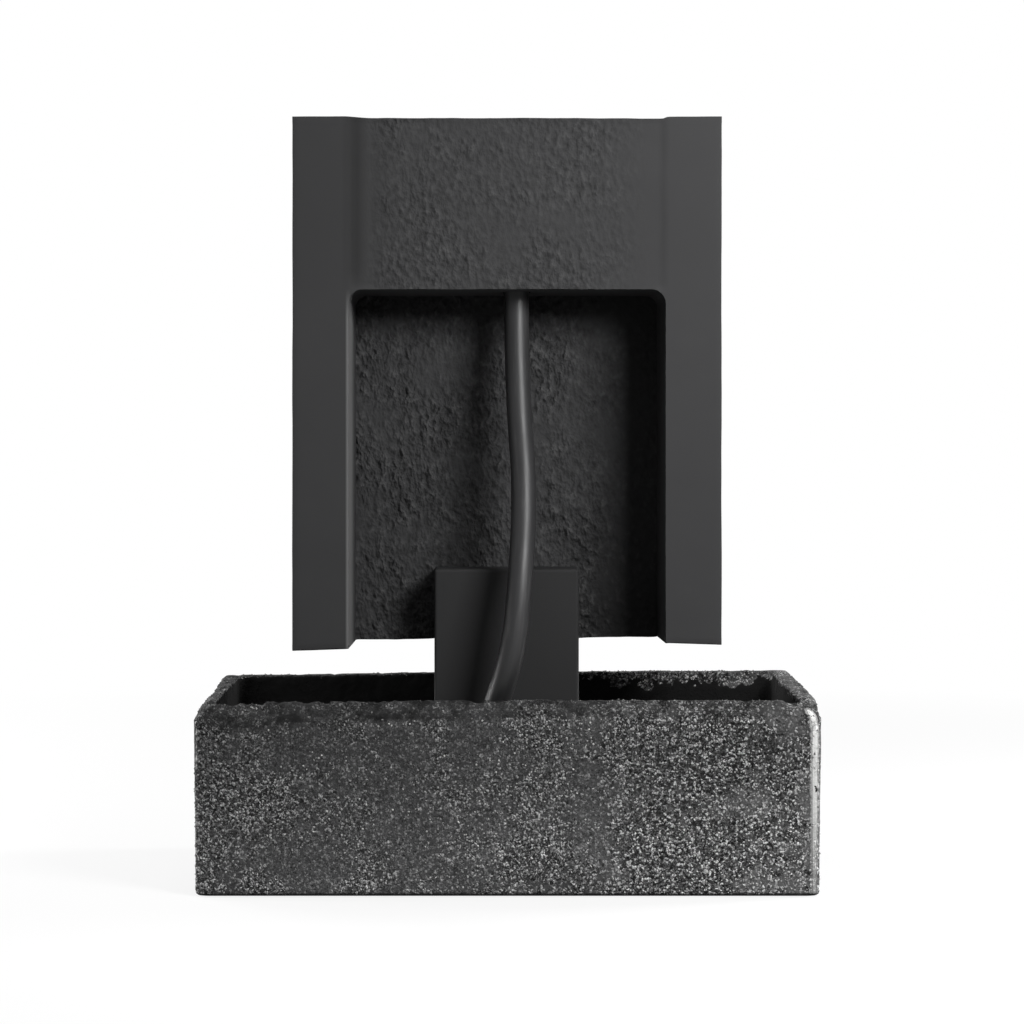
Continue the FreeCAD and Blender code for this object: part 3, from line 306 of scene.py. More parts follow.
def speckle(f, across):
    """Pale grains over dark gaps with crumbs between them, paler towards the right as painted light: their
    tone and their relief.
    """
    swirl = f.node("TexNoise", {"Vector": f.place, "Scale": 340, "Detail": 2}).outputs["Color"]
    swirl = f.vector("MULTIPLY", swirl, (SWIRL, SWIRL, SWIRL))
    warped = f.vector("ADD", f.place, swirl)
    coarse, fine = f.cells(COARSE_GRAINS, warped), f.cells(FINE_GRAINS, warped)
    off_middle = coarse.outputs["Distance"]
    chance, small_chance = [f.out("SeparateColor", {0: cells.outputs["Color"]})
                            for cells in (coarse, fine)]
    grain = f.ramp(chance, (0.0, 0.022), (0.35, 0.070), (0.54, 0.18), (0.68, 0.50), (0.80, 0.95),
                   (1.0, 1.0))
    grain = f.blend(f.between(off_middle, 0.42, 0.62), grain, 0.010)
    crumb = f.ramp(small_chance, (0.0, 0.006), (0.45, 0.050), (0.72, 0.22), (1.0, 0.95))
    # Painted light: fewer dark crumbs and darker grains on the left, brighter grains towards the right
    # where the lamp falls
    tone = f.blend(f.between(across, 0.0, 0.25, 0.34, 0.16), grain, crumb)
    tone = f.blend(f.between(across, -0.10, 0.22, 0.84, 1.0), 0.016, tone)
    dome = f.times(f.between(off_middle, 0.6, 0.0), chance)
    return tone, f.math("ADD", dome, f.times(f.noise(700, 3, 0.7), 0.8))


def corner_wear_and_highlight(f, up, tone):
    """The tone with pale near corners, partly wear and partly a painted highlight, leaning below the rim,
    and a dark line beside the right one.
    """
    plan = f.out("Mapping", {"Vector": f.place, "Scale": (1, 1, 0)})
    lean = f.math("MAXIMUM", f.math("SUBTRACT", up, LEAN_START), 0.0)
    lean = f.times(f.times(lean, lean), LEAN_GROWTH)
    lean = f.out("CombineXYZ", {0: lean, 1: f.times(lean, -1.0)})
    plan = f.vector("ADD", plan, lean)
    ragged = f.between(f.noise(150, 3, 0.6), 0.2, 0.8, -0.0014, 0.0014)
    away = [f.node("VectorMath", {0: plan, 1: corner}, operation="DISTANCE").outputs["Value"]
            for corner, _, _ in WORN_AND_HIGHLIT_CORNERS]
    worn_and_highlit = [f.between(f.math("ADD", reach, ragged), start, full)
            for reach, (_, start, full) in zip(away, WORN_AND_HIGHLIT_CORNERS)]
    # Partly wear and partly a painted highlight: the corners turn pale, most of all high up near the rim
    wear_and_highlight = f.times(f.math("MAXIMUM", *worn_and_highlit), f.between(up, 0.01, 0.15, 0.45, 0.95))
    tone = f.blend(wear_and_highlight, tone, (0.74, 0.74, 0.73))
    off_dark_line = f.math("ABSOLUTE", f.math("SUBTRACT", away[0], DARK_LINE_AWAY))
    return f.blend(f.between(off_dark_line, 0.0006, 0.0002, 0.0, 0.6), tone, 0.05)


def rough_stone():
    """Speckled cast stone: grains, smoother patches, pits, pale near corners that are partly wear and
    partly a painted highlight, painted light towards the right, painted shade on the rim and at the foot,
    and a black coat inside.
    """
    f = Finish("rough_stone", (0.06, 0.06, 0.06), 0.6, specular=0.05)
    across, _, up = f.node("SeparateXYZ", {0: f.place}).outputs
    width_share = f.between(across, -BASIN_HALF_X, BASIN_HALF_X)
    band, broad = f.mark("band"), f.noise(45, 4, 0.65)
    grains, relief = speckle(f, across)

    # Patches where the grains stand out of a smoother matrix
    crowd = f.ramp(width_share, (0.0, 0.58), (0.09, 0.60), (0.17, 0.46), (0.33, 0.43), (0.46, 0.50),
                   (0.60, 0.50), (0.74, 0.66), (0.90, 0.62), (1.0, 0.45))
    patches = f.math("ADD", f.noise(17, 3, 0.6), f.between(f.noise(120, 2, 0.6), 0.3, 0.7, -0.12, 0.12))
    patches = f.between(f.math("ADD", patches, crowd), 0.95, 1.13, 0.22, 1.0)
    share = f.times(patches, f.between(band, 0.0, 1.0, 1.0, 0.85))
    matrix = f.blend(f.between(broad, 0.3, 0.7), (0.040, 0.040, 0.041), (0.066, 0.066, 0.067))
    # Painted light: the matrix turns paler towards the right, where the lamp falls
    matrix = f.blend(f.between(across, 0.06, 0.24, 0.0, 0.75), matrix, 0.110)
    tone = f.blend(share, matrix, grains)

    # Paler towards the foot, then pits, the scattered crystals and painted shade on the band at the rim,
    # weaker towards the right
    lift = f.ramp(f.between(up, 0.0, 0.2), (0.10, 0.95), (0.80, 0.54), (0.88, 0.64), (1.0, 0.64))
    lift = f.times(lift, 1.5)
    tone = f.out("VectorMath", {0: tone, "Scale": lift}, operation="SCALE")
    pits = f.between(f.noise(480, 2, 0.6), 0.395, 0.335)
    tone = f.blend(f.times(pits, 0.85), tone, 0.007)
    tone = f.blend(f.times(f.mark("grain"), 0.9), tone, (0.70, 0.70, 0.69))
    # Painted shade on the rim's band and level tops, lighter towards the right
    darkened = f.times(f.between(broad, 0.36, 0.60, 0.28, 0.96), f.between(across, 0.0, 0.2, 1.0, 0.72))
    tone = f.blend(f.times(band, darkened), tone, 0.010)
    tone = corner_wear_and_highlight(f, up, tone)

    # The black coat inside, with a ragged upper edge, and painted contact shade along the foot
    ragged = f.between(f.noise(130, 4, 0.7), 0.25, 0.75, -0.85, 0.85)
    coat = f.math("ADD", f.between(f.mark("coat"), 0.0, 1.0, 0.0, 1.45), ragged)
    coat = f.between(coat, 0.44, 0.56)
    coat_tone = f.ramp(width_share, (0.0, 0.012), (0.040, 0.012), (0.060, 0.034), (0.40, 0.032),
                       (0.58, 0.012), (1.0, 0.012))
    tone = f.blend(coat, tone, coat_tone)
    # Painted contact shade along the bottom few millimetres
    tone = f.blend(f.between(up, 0.0040, 0.0015), tone, 0.010)
    strength = f.times(share, f.between(coat, 0.0, 1.0, 1.0, 0.6))
    normal = f.bump(relief, 0.0034, strength, under=f.bump(broad, 0.005, 0.6))
    return f.use(tone, f.between(coat, 0.0, 1.0, 0.58, 1.0), normal)


def cast_stone():
    """Smooth cast stone, hammered and trowelled where the mould was open."""
    f = Finish("cast_stone", (0.044, 0.044, 0.044), 0.80, specular=0.02)
    tone = f.blend(f.noise(7, 4, 0.55), (0.041, 0.041, 0.042), (0.051, 0.051, 0.052))
    across, deep, up = f.node("SeparateXYZ", {0: f.place}).outputs

    # Painted shade in the valley beside the left rib's root, a pale edge along the recess's left side that
    # is partly wear and partly a painted highlight, and darker low on the right of the recess
    # Painted shade in the valley beside the left rib
    valley_shade = f.between(f.math("ABSOLUTE", f.math("ADD", across, 0.153)), 0.014, 0.003, 0.0, 0.45)
    valley_shade = f.times(valley_shade, f.between(up, CEILING - 0.01, CEILING + 0.02))
    outermost = f.between(deep, PANEL_REAR + 0.012, PANEL_REAR + 0.004)
    tone = f.blend(f.times(valley_shade, outermost), tone, 0.016)
    # Partly wear and partly a painted highlight along the recess's left edge
    worn_and_highlit = f.between(f.math("ABSOLUTE", f.math("ADD", across, RECESS_HALF)), 0.0030, 0.0010)
    worn_and_highlit = f.times(worn_and_highlit, f.between(deep, RECESS_FLOOR - 0.01, RECESS_FLOOR - 0.05))
    worn_and_highlit = f.times(worn_and_highlit, f.between(up, CEILING, CEILING - 0.03))
    tone = f.blend(worn_and_highlit, tone, 0.14)
    darker_low_right = f.times(f.between(up, 0.40, 0.27), f.between(across, 0.04, 0.085, 0.12, 0.55))
    darker_low_right = f.times(darker_low_right, f.between(deep, RECESS_FLOOR - 0.03, RECESS_FLOOR - 0.01))
    tone = f.blend(darker_low_right, tone, 0.014)

    # Trowel marks: slanting hollows and crests on the rough parts, the hollows darker and the crests paler,
    # partly the stone's own mottling and partly painted shade and light of the relief
    tilted = f.out("Mapping", {"Vector": f.place, "Rotation": (0, math.radians(14), 0),
                               "Scale": (1, 1, 0.75)})
    patches = f.between(f.noise(16, 3, 0.6), 0.36, 0.58, 0.35, 1.0)
    share = f.times(f.mark("rough"), patches)
    share = f.times(share, f.between(across, 0.090, 0.125, 1.0, 0.35))
    dashes = f.noise(165, 1.8, 0.50, vector=tilted)
    hollows = f.between(dashes, 0.50, 0.34)
    # Painted shade in the hollows and painted light on the crests, partly the stone's own mottling
    tone = f.blend(f.times(hollows, f.times(share, 0.48)), tone, 0.016)
    crests = f.between(dashes, 0.56, 0.70)
    tone = f.blend(f.times(crests, f.times(share, 0.5)), tone, 0.095)
    low = f.bump(f.noise(900, 2, 0.5), 0.0002, 0.35)
    return f.use(tone, None, f.bump(dashes, 0.0090, share, under=low))


def smooth_stone():
    """Fine grained cast block."""
    f = Finish("smooth_stone", (0.027, 0.027, 0.027), 0.70, specular=0.10)
    tone = f.blend(f.noise(9, 4, 0.55), (0.024, 0.024, 0.0245), (0.030, 0.030, 0.0305))
    return f.use(tone, None, f.bump(f.noise(700, 3, 0.6), 0.0003, 0.4))


def black_vinyl():
    """Satin hose vinyl with faint drawing lines along it, darker towards its lower end."""
    f = Finish("black_vinyl", (0.026, 0.026, 0.026), 0.45, specular=0.36)
    wrap = f.node("Attribute", attribute_name="wrap").outputs["Vector"]
    drawn = f.out("Mapping", {"Vector": wrap, "Scale": (1, 1, 0.06)})
    lines = f.noise(420, 3, 0.6, vector=drawn)
    tone = f.blend(f.noise(35, 3, 0.5), (0.022, 0.022, 0.023), (0.032, 0.032, 0.033))
    tone = f.blend(f.between(lines, 0.55, 0.75, 0.0, 0.5), tone, 0.060)
    up = f.node("SeparateXYZ", {0: f.place}).outputs[2]
    tone = f.blend(f.between(up, 0.265, 0.215, 0.0, 0.7), tone, 0.008)
    haze = f.between(lines, 0.25, 0.75, 0.38, 0.52)
    low = f.bump(f.noise(60, 2, 0.4), 0.0004, 0.3)
    return f.use(tone, haze, f.bump(lines, 0.0002, 0.4, under=low))


def simple_finish(name, low, high, roughness, grain, depth, metallic=0.0, specular=0.5, stretch=(1, 1, 1)):
    """A moulded or machined finish: a mottled colour, uneven gloss and a fine grain."""
    f = Finish(name, high, roughness, metallic, specular)
    along = f.out("Mapping", {"Vector": f.place, "Scale": stretch})
    texture = f.noise(grain, 3, 0.6, vector=along)
    tone = f.blend(f.noise(40, 4, 0.6), low, high)
    gloss = f.between(texture, 0.2, 0.8, roughness - 0.07, roughness + 0.07)
    return f.use(tone, gloss, f.bump(texture, depth, 0.5))


# Plain finishes: darkest and palest colour, roughness, waves a metre of the grain, its depth, the rest
PLAIN_FINISHES = {
    "black_rubber": ((0.016,) * 3, (0.024,) * 3, 0.72, 900, 0.0002, {"specular": 0.3}),
    "stainless_steel": ((0.34, 0.34, 0.35), (0.46, 0.46, 0.47), 0.36, 420, 0.00012,
                        {"metallic": 1.0, "stretch": (0.03, 1, 1)}),
    "brass": ((0.62, 0.46, 0.21), (0.74, 0.57, 0.29), 0.30, 300, 0.00006,
              {"metallic": 1.0, "stretch": (1, 1, 4)}),
    "black_plastic": ((0.016, 0.016, 0.018), (0.024, 0.024, 0.026), 0.48, 1400, 0.00015, {}),
    "grey_plastic": ((0.22, 0.23, 0.24), (0.27, 0.28, 0.29), 0.40, 1200, 0.0001, {}),
    "white_plastic": ((0.66, 0.66, 0.64), (0.74, 0.74, 0.72), 0.36, 1100, 0.0001, {}),
    "ferrite": ((0.045,) * 3, (0.065,) * 3, 0.55, 1500, 0.0001, {}),
    "white_ceramic": ((0.72, 0.72, 0.70), (0.80, 0.80, 0.78), 0.18, 600, 0.00003, {}),
}
finishes = {make.__name__: make() for make in (rough_stone, cast_stone, smooth_stone, black_vinyl)}
for name, (*values, rest) in PLAIN_FINISHES.items():
    finishes[name] = simple_finish(name, *values, **rest)


# Noise on points
def waves(points, per_metre, seed):
    """Smooth noise from -1 to 1 at each point."""
    shift = Vector((seed * 7.13, seed * 3.71, seed * 5.37))
    return np.array([noise.noise(Vector(point) * per_metre + shift) for point in points])


def smooth_step(values, low, high):
    """A soft rise from 0 at low to 1 at high."""
    share = np.clip((values - low) / (high - low), 0, 1)
    return share * share * (3 - 2 * share)


# Basin: how many points each side and each corner of a loop has
NEAR_COUNT, SIDE_COUNT, FAR_COUNT, CORNER_COUNT = 236, 110, 170, 8

# Its loops, from the bottom edge up the face, over the bevel and the rim's top and down inside
EDGE_TURNS, FACE_LOOPS, BEVEL_LOOPS, TOP_SHARES = (0, 30, 60), 58, 10, (0.25, 0.5, 0.75)
BEVEL_START = len(EDGE_TURNS) + FACE_LOOPS - 1
INNER_EDGE = BEVEL_START + BEVEL_LOOPS + len(TOP_SHARES) + 3
BOTTOM_EDGE, BEVEL_BULGE, COAT_FADE = 0.004, 0.0012, 0.014
TOP_END, INNER_ROUND = 0.92, 0.0020
WALL_DROPS = (*np.linspace(0.0045, 0.032, 12), *np.linspace(0.038, 0.156, 20)[:-1])
CHISEL_MARKS, NICKS, CORNER_CHIPS, SPALLS, SPALLED_SHARE = 520, 520, 24, 60, 0.30

# Crystals on the basin: how many a square metre, their radii, and how thick they lie along it
GRIT = {"density": 42000.0, "seed": 7, "least": 0.0005, "most": 0.0013}
GRIT_PLACES = (-0.31, -0.25, -0.20, -0.10, 0.0, 0.15, 0.28, 0.31)
GRIT_SHARES = (0.7, 0.7, 0.3, 0.25, 0.6, 0.9, 0.8, 0.3)
HOLE_STEPS = 48


def ring(half_x, half_y, radius):
    """Points round a rectangle with round corners, from the near side's left end."""
    inner_x, inner_y = half_x - radius, half_y - radius
    sides = [
        ((-inner_x, -half_y), (inner_x, -half_y), NEAR_COUNT, (inner_x, -inner_y), -90),
        ((half_x, -inner_y), (half_x, inner_y), SIDE_COUNT, (inner_x, inner_y), 0),
        ((inner_x, half_y), (-inner_x, half_y), FAR_COUNT, (-inner_x, inner_y), 90),
        ((-half_x, inner_y), (-half_x, -inner_y), SIDE_COUNT, (-inner_x, -inner_y), 180),
    ]
    points = []
    for start, end, count, centre, angle in sides:
        share = np.arange(count)[:, None] / count
        points.append(np.array(start) + share * (np.array(end) - np.array(start)))
        turn = np.radians(angle + 90 * np.arange(CORNER_COUNT) / CORNER_COUNT)
        points.append(np.array(centre) + radius * np.stack([np.cos(turn), np.sin(turn)], axis=1))
    return np.concatenate(points)


def outer_ring(z):
    """The basin's outside at a height."""
    drop = (BASIN_HEIGHT - z) * OUTER_DRAFT
    return ring(BASIN_HALF_X - drop, BASIN_HALF_Y - drop, OUTER_CORNER)


def cavity_ring(z, inset=0.0):
    """The inside at a height."""
    drop = (BASIN_HEIGHT - z) * CAVITY_DRAFT + inset
    return ring(BASIN_HALF_X - WALL - drop, BASIN_HALF_Y - WALL - drop, CAVITY_CORNER - drop * 0.9)


def along_rim(near, right, far, left):
    """A value along the rim from stops on each side, given as (place, value), X or Y in metres."""
    outline = outer_ring(BASIN_HEIGHT)
    x, y = outline[:, 0], outline[:, 1]
    values = np.zeros(len(outline))
    closest = np.argmin([y + BASIN_HALF_Y, BASIN_HALF_X - x, BASIN_HALF_Y - y, x + BASIN_HALF_X], axis=0)
    for number, (stops, place) in enumerate([(near, x), (right, y), (far, x), (left, y)]):
        spots, levels = zip(*stops)
        chosen = closest == number
        values[chosen] = np.interp(place[chosen], spots, levels)
    return np.convolve(np.concatenate([values[-2:], values, values[:2]]), np.ones(5) / 5, "valid")


def make_basin():
    """Loops of points from the bottom edge to the cavity's floor."""
    bevel_drop = along_rim(
        near=[(-0.31, 0.020), (-0.26, 0.023), (-0.20, 0.017), (0.0, 0.014), (0.18, 0.012),
              (0.27, 0.013), (0.31, 0.018)],
        right=[(-0.175, 0.018), (-0.148, 0.011), (-0.125, 0.006), (-0.05, 0.004), (0.08, 0.002),
               (0.175, 0.004)],
        far=[(-0.31, 0.005), (0.0, 0.009), (0.31, 0.004)],
        left=[(-0.175, 0.018), (-0.12, 0.012), (0.0, 0.014), (0.09, 0.009), (0.175, 0.005)])
    bevel_in = np.clip(bevel_drop * 0.85, 0.003, 0.0155) / WALL
    rim_height = along_rim(
        near=[(-0.31, 0.1910), (-0.20, 0.1915), (0.0, 0.1930), (0.31, 0.1925)],
        right=[(-0.175, 0.1925), (0.175, 0.1950)],
        far=[(-0.31, 0.1895), (-0.20, 0.1911), (-0.09, 0.1930), (0.31, 0.1950)],
        left=[(-0.175, 0.1910), (0.175, 0.1895)])
    coat_start = along_rim(
        near=[(-0.31, 0.004), (0.31, 0.004)],
        right=[(-0.175, 0.004), (0.12, 0.003), (0.175, 0.002)],
        far=[(-0.31, 0.001), (0.05, 0.001), (0.10, 0.007), (0.26, 0.008), (0.31, 0.002)],
        left=[(-0.175, 0.002), (0.175, 0.001)])
    count = len(bevel_drop)
    bevel_base = rim_height - bevel_drop
    rows, band, coat = [], [], []

    outside, inside = outer_ring(0), cavity_ring(BASIN_HEIGHT)
    outward = (outer_ring(BASIN_HEIGHT) - outside) / BASIN_HEIGHT
    inward = (inside - cavity_ring(0.1)) / (BASIN_HEIGHT - 0.1)

    def add_row(across, z, band_share=0.0, coat_share=0.0):
        """One loop of points: across is the way from the outside to the cavity, z its height."""
        across, z = np.broadcast_to(across, count), np.broadcast_to(z, count)
        outer = outside + outward * z[:, None]
        inner = inside - inward * (BASIN_HEIGHT - z)[:, None]
        plan = outer * (1 - across[:, None]) + inner * across[:, None]
        rows.append(np.column_stack([plan, z]))
        band.append(np.full(count, band_share))
        coat.append(np.clip(np.broadcast_to(coat_share, count), 0, 1))

    for turn in np.radians(EDGE_TURNS):
        add_row(BOTTOM_EDGE * (1 - math.sin(turn)) / WALL, BOTTOM_EDGE * (1 - math.cos(turn)))
    for share in np.linspace(0, 1, FACE_LOOPS):
        height = BOTTOM_EDGE + (bevel_base - BOTTOM_EDGE) * share
        add_row(0.0, height, band_share=smooth_step(share, 0.97, 1.0))
    for share in np.linspace(0, 1, BEVEL_LOOPS + 1)[1:]:
        bulge = BEVEL_BULGE * math.sin(math.pi * share)
        add_row(bevel_in * share - bulge / WALL, bevel_base + bevel_drop * share, band_share=1.0)
    for share in TOP_SHARES:
        add_row(bevel_in + (TOP_END - bevel_in) * share, rim_height, band_share=1.0)
    add_row(TOP_END, rim_height, band_share=1.0)
    add_row(0.98, rim_height - 0.0006, band_share=0.8)
    add_row(1.0, rim_height - INNER_ROUND, 0.5, coat_share=0.5 + (INNER_ROUND - coat_start) / COAT_FADE)
    cavity_foot = FLOOR_Z + FOOT_RADIUS
    for drop in WALL_DROPS:
        add_row(1.0, rim_height - drop, coat_share=0.5 + (drop - coat_start) / COAT_FADE)
    for turn in np.radians([0, 22, 45, 67, 90]):
        foot_ring = cavity_ring(FLOOR_Z + FOOT_RADIUS * (1 - math.sin(turn)),
                                FOOT_RADIUS * (1 - math.cos(turn)))
        height = cavity_foot - FOOT_RADIUS * math.sin(turn)
        rows.append(np.column_stack([foot_ring, np.full(count, height)]))
        band.append(np.zeros(count))
        coat.append(np.ones(count))

    grid, broken = roughen_basin(np.array(rows))
    build_basin(grid, np.array(band), np.array(coat) * (1 - broken))


def grid_normals(grid):
    """Outward directions of a closed strip of loops."""
    along = np.roll(grid, -1, axis=1) - np.roll(grid, 1, axis=1)
    up = np.gradient(grid, axis=0)
    normal = np.cross(along, up)
    return normal / np.maximum(np.linalg.norm(normal, axis=2, keepdims=True), 1e-12)


def scoops(grid, normals, rng, places, width, depth):
    """Shell-shaped chips, each a shallow round bite; width and depth are ranges in metres."""
    flat = grid.reshape(-1, 3)
    taken = np.zeros(len(flat))
    for row, column in places:
        wide, deep = rng.uniform(*width), rng.uniform(*depth)
        radius = (wide * wide / 4 + deep * deep) / (2 * deep)
        spot = row % grid.shape[0], column % grid.shape[1]
        start = grid[spot]
        lean = normals[spot] + rng.normal(0, 0.25, 3)
        centre = start + lean / np.linalg.norm(lean) * (radius - deep)
        offset = flat - centre
        reach = np.linalg.norm(offset, axis=1)
        inside = (reach < radius) & (np.linalg.norm(flat - start, axis=1) < wide)
        flat[inside] = centre + offset[inside] / reach[inside][:, None] * radius
        taken[inside] += radius - reach[inside]
    return grid, taken.reshape(grid.shape[:2])


def roughen_basin(grid):
    """Uneven faces, a chiselled bevel, chipped edges and the broken inner edge at the far right."""
    rng = np.random.default_rng(11)
    normals = grid_normals(grid)
    flat = grid.reshape(-1, 3)
    height = 0.0005 * waves(flat, 22, 1) + 0.0003 * waves(flat, 75, 2) + 0.0002 * waves(flat, 210, 3)
    height *= smooth_step(flat[:, 2], 0.0, 0.006)
    rough = (flat + normals.reshape(-1, 3) * height[:, None]).reshape(grid.shape)
    count = grid.shape[1]
    chiselled = zip(rng.integers(BEVEL_START - 2, INNER_EDGE - 3, CHISEL_MARKS),
                    rng.integers(0, count, CHISEL_MARKS))
    rough, _ = scoops(rough, normals, rng, chiselled, (0.004, 0.012), (0.0003, 0.0010))
    edge_rows = [BEVEL_START, BEVEL_START + 1, *range(INNER_EDGE - 3, INNER_EDGE + 2)]
    nicks = zip(rng.choice(edge_rows, NICKS), rng.integers(0, count, NICKS))
    rough, _ = scoops(rough, normals, rng, nicks, (0.002, 0.008), (0.0005, 0.0017))
    near_corners = (0, NEAR_COUNT + CORNER_COUNT // 2)
    corner_columns = [column + shift for column in near_corners for shift in (-4, 0, 4)]
    corners = zip(rng.integers(BEVEL_START, INNER_EDGE, CORNER_CHIPS),
                  rng.choice(corner_columns, CORNER_CHIPS))
    rough, _ = scoops(rough, normals, rng, corners, (0.006, 0.016), (0.0008, 0.0025))
    far_start = NEAR_COUNT + SIDE_COUNT + 2 * CORNER_COUNT
    right_end = far_start + int(FAR_COUNT * SPALLED_SHARE)
    spalls = zip(rng.integers(INNER_EDGE - 1, INNER_EDGE + 6, SPALLS),
                 rng.integers(far_start - 6, right_end, SPALLS))
    rough, broken = scoops(rough, normals, rng, spalls, (0.004, 0.012), (0.0008, 0.0030))
    rough[..., 2] = np.maximum(rough[..., 2], 0.0)
    return rough, np.clip(broken / 0.0010, 0, 1)


def cap(loop, hole, spacing):
    """Triangles that fill a flat loop but for a round hole, with a grid of points inside."""
    middle = np.array(DRAIN_PLACE)
    hole_radius = np.linalg.norm(hole[0] - middle)
    low, high = loop.min(axis=0), loop.max(axis=0)
    across = [np.arange(low[axis] + spacing, high[axis] - spacing / 2, spacing) for axis in (0, 1)]
    inner = np.array([(x, y) for x in across[0] for y in across[1]])
    room = np.minimum(high - np.abs(inner), np.abs(low) - np.abs(inner)).min(axis=1)
    clear = (room > spacing * 0.6) & (np.linalg.norm(inner - middle, axis=1) > hole_radius * 1.3)
    points = np.concatenate([loop, hole, inner[clear]])
    first = len(loop)
    edges = [(number, (number + 1) % first) for number in range(first)]
    edges += [(first + number, first + (number + 1) % len(hole)) for number in range(len(hole))]
    made = geometry.delaunay_2d_cdt([Vector(point) for point in points], edges, [], 1, 1e-7)
    flat, faces = np.array([tuple(point) for point in made[0]]), made[2]
    hole_edge = hole_radius * math.cos(math.pi / len(hole)) - 1e-5
    return flat, [face for face in faces if np.linalg.norm(flat[face].mean(axis=0) - middle) > hole_edge]


def build_basin(grid, band, coat):
    """Joins the loops and closes the floor and the underside round the drain."""
    loops, count = grid.shape[:2]
    points = [grid.reshape(-1, 3)]
    marks = [np.column_stack([band.ravel(), coat.ravel()])]
    faces = []
    for row in range(loops - 1):
        faces += quads(row * count, (row + 1) * count, count)
    turn = even_turns(HOLE_STEPS)
    circle = np.stack([np.cos(turn), np.sin(turn)], axis=1)
    start = loops * count
    top_radius = DRAIN_RADIUS + FLOOR_Z * DRAIN_DRAFT
    for loop, z, radius, upward, spacing in ((grid[-1], FLOOR_Z, top_radius, True, 0.009),
                                             (grid[0], 0.0, DRAIN_RADIUS, False, 0.030)):
        flat, triangles = cap(loop[:, :2], np.array(DRAIN_PLACE) + circle * radius, spacing)
        points.append(np.column_stack([flat, np.full(len(flat), z)]))
        marks.append(np.tile([0.0, 1.0 if upward else 0.0], (len(flat), 1)))
        for face in triangles:
            a, b, c = flat[face]
            up = (b[0] - a[0]) * (c[1] - a[1]) - (b[1] - a[1]) * (c[0] - a[0]) > 0
            faces.append(tuple(start + number for number in (face if up == upward else face[::-1])))
        start += len(flat)
    for z, radius in ((FLOOR_Z, top_radius), (0.0, DRAIN_RADIUS)):
        points.append(np.column_stack([np.array(DRAIN_PLACE) + circle * radius, np.full(len(circle), z)]))
        marks.append(np.tile([0.0, 0.6], (len(circle), 1)))
    below = start + HOLE_STEPS
    faces += [(start + spot, below + spot, below + (spot + 1) % HOLE_STEPS, start + (spot + 1) % HOLE_STEPS)
              for spot in range(HOLE_STEPS)]
    spots, marks = np.concatenate(points), np.concatenate(marks)
    mesh = new_mesh("basin_stone", spots.tolist(), faces)
    crowd = np.interp(spots[:, 0], GRIT_PLACES, GRIT_SHARES)
    grit = crowd * smooth_step(waves(spots, 14, 9), -0.35, 0.25) * (spots[:, 2] > 0.003)
    grit *= np.clip(1 - 2 * marks[:, 1], 0, 1)
    for name, values in (("band", marks[:, 0]), ("coat", marks[:, 1]), ("grit", grit)):
        mark_points(mesh, name, values)
    basin = add_object("basin_stone", mesh)
    weld(basin)
    settle(basin)
    scatter_grit(basin)
    dress(basin, "root", "rough_stone", "basin")


def new_tree(name, **inputs):
    """A Geometry Nodes tree with a finish and named inputs, each a kind and a default."""
    tree = bpy.data.node_groups.new(name, "GeometryNodeTree")
    for way in ("INPUT", "OUTPUT"):
        tree.interface.new_socket("Geometry", in_out=way, socket_type="NodeSocketGeometry")
    for label, (kind, default) in (*inputs.items(), ("finish", ("Material", None))):
        socket = tree.interface.new_socket(label, in_out="INPUT", socket_type=f"NodeSocket{kind}")
        socket.default_value = default
    t = Nodes(tree, "GeometryNode")
    return t, t.node("NodeGroupInput").outputs


def finish_tree(t, given, instances):
    """Ends a tree: instances made real, with their finish."""
    real = t.out("RealizeInstances", {0: instances})
    dressed = t.out("SetMaterial", {"Geometry": real, "Material": given["finish"]})
    t.node("NodeGroupOutput", {0: dressed})
    return t.tree


def run_tree(piece, tree, **values):
    """Adds the tree to a piece, sets its inputs and turns the result into a plain mesh."""
    modifier = piece.modifiers.new(tree.name, "NODES")
    modifier.node_group = tree
    for item in tree.interface.items_tree:
        if item.in_out == "INPUT" and item.name in values:
            modifier[item.identifier] = values[item.name]
    settle(piece)


def grit_tree():
    """Crystals over a surface, as thick as its mark grit says."""
    t, given = new_tree("grit_scatter", density=("Float", 1000.0), seed=("Int", 0),
                        least=("Float", 0.0005), most=("Float", 0.001))
    mark = t.out("InputNamedAttribute", {"Name": "grit"}, data_type="FLOAT")
    density = t.times(mark, given["density"])
    spots = t.out("DistributePointsOnFaces",
                  {"Mesh": given["Geometry"], "Density": density, "Seed": given["seed"]})
    crystal = t.out("MeshIcoSphere", {"Radius": 1.0, "Subdivisions": 1})
    turn = t.out("FunctionNodeRandomValue", {"Max": (6.28, 6.28, 6.28), "Seed": 3},
                 data_type="FLOAT_VECTOR")
    size = t.out("FunctionNodeRandomValue", {"Min": given["least"], "Max": given["most"], "Seed": 4},
                 data_type="FLOAT_VECTOR")
    placed = t.out("InstanceOnPoints",
                   {"Points": spots, "Instance": crystal, "Rotation": turn, "Scale": size})
    pale = t.node("FunctionNodeRandomValue", {2: 0.05, 3: 1.0, "Seed": 5}, data_type="FLOAT").outputs[1]
    marked = t.out("StoreNamedAttribute", {"Geometry": placed, "Name": "grain", "Value": pale},
                   data_type="FLOAT", domain="INSTANCE")
    return finish_tree(t, given, marked)


def scatter_grit(basin):
    """The crystals as a piece of their own."""
    grit = add_object("basin_grit", basin.data.copy())
    run_tree(grit, grit_tree(), finish=finishes["rough_stone"], **GRIT)
    dress(grit, "root", "rough_stone", smooth=False)


make_hose()
make_basin()


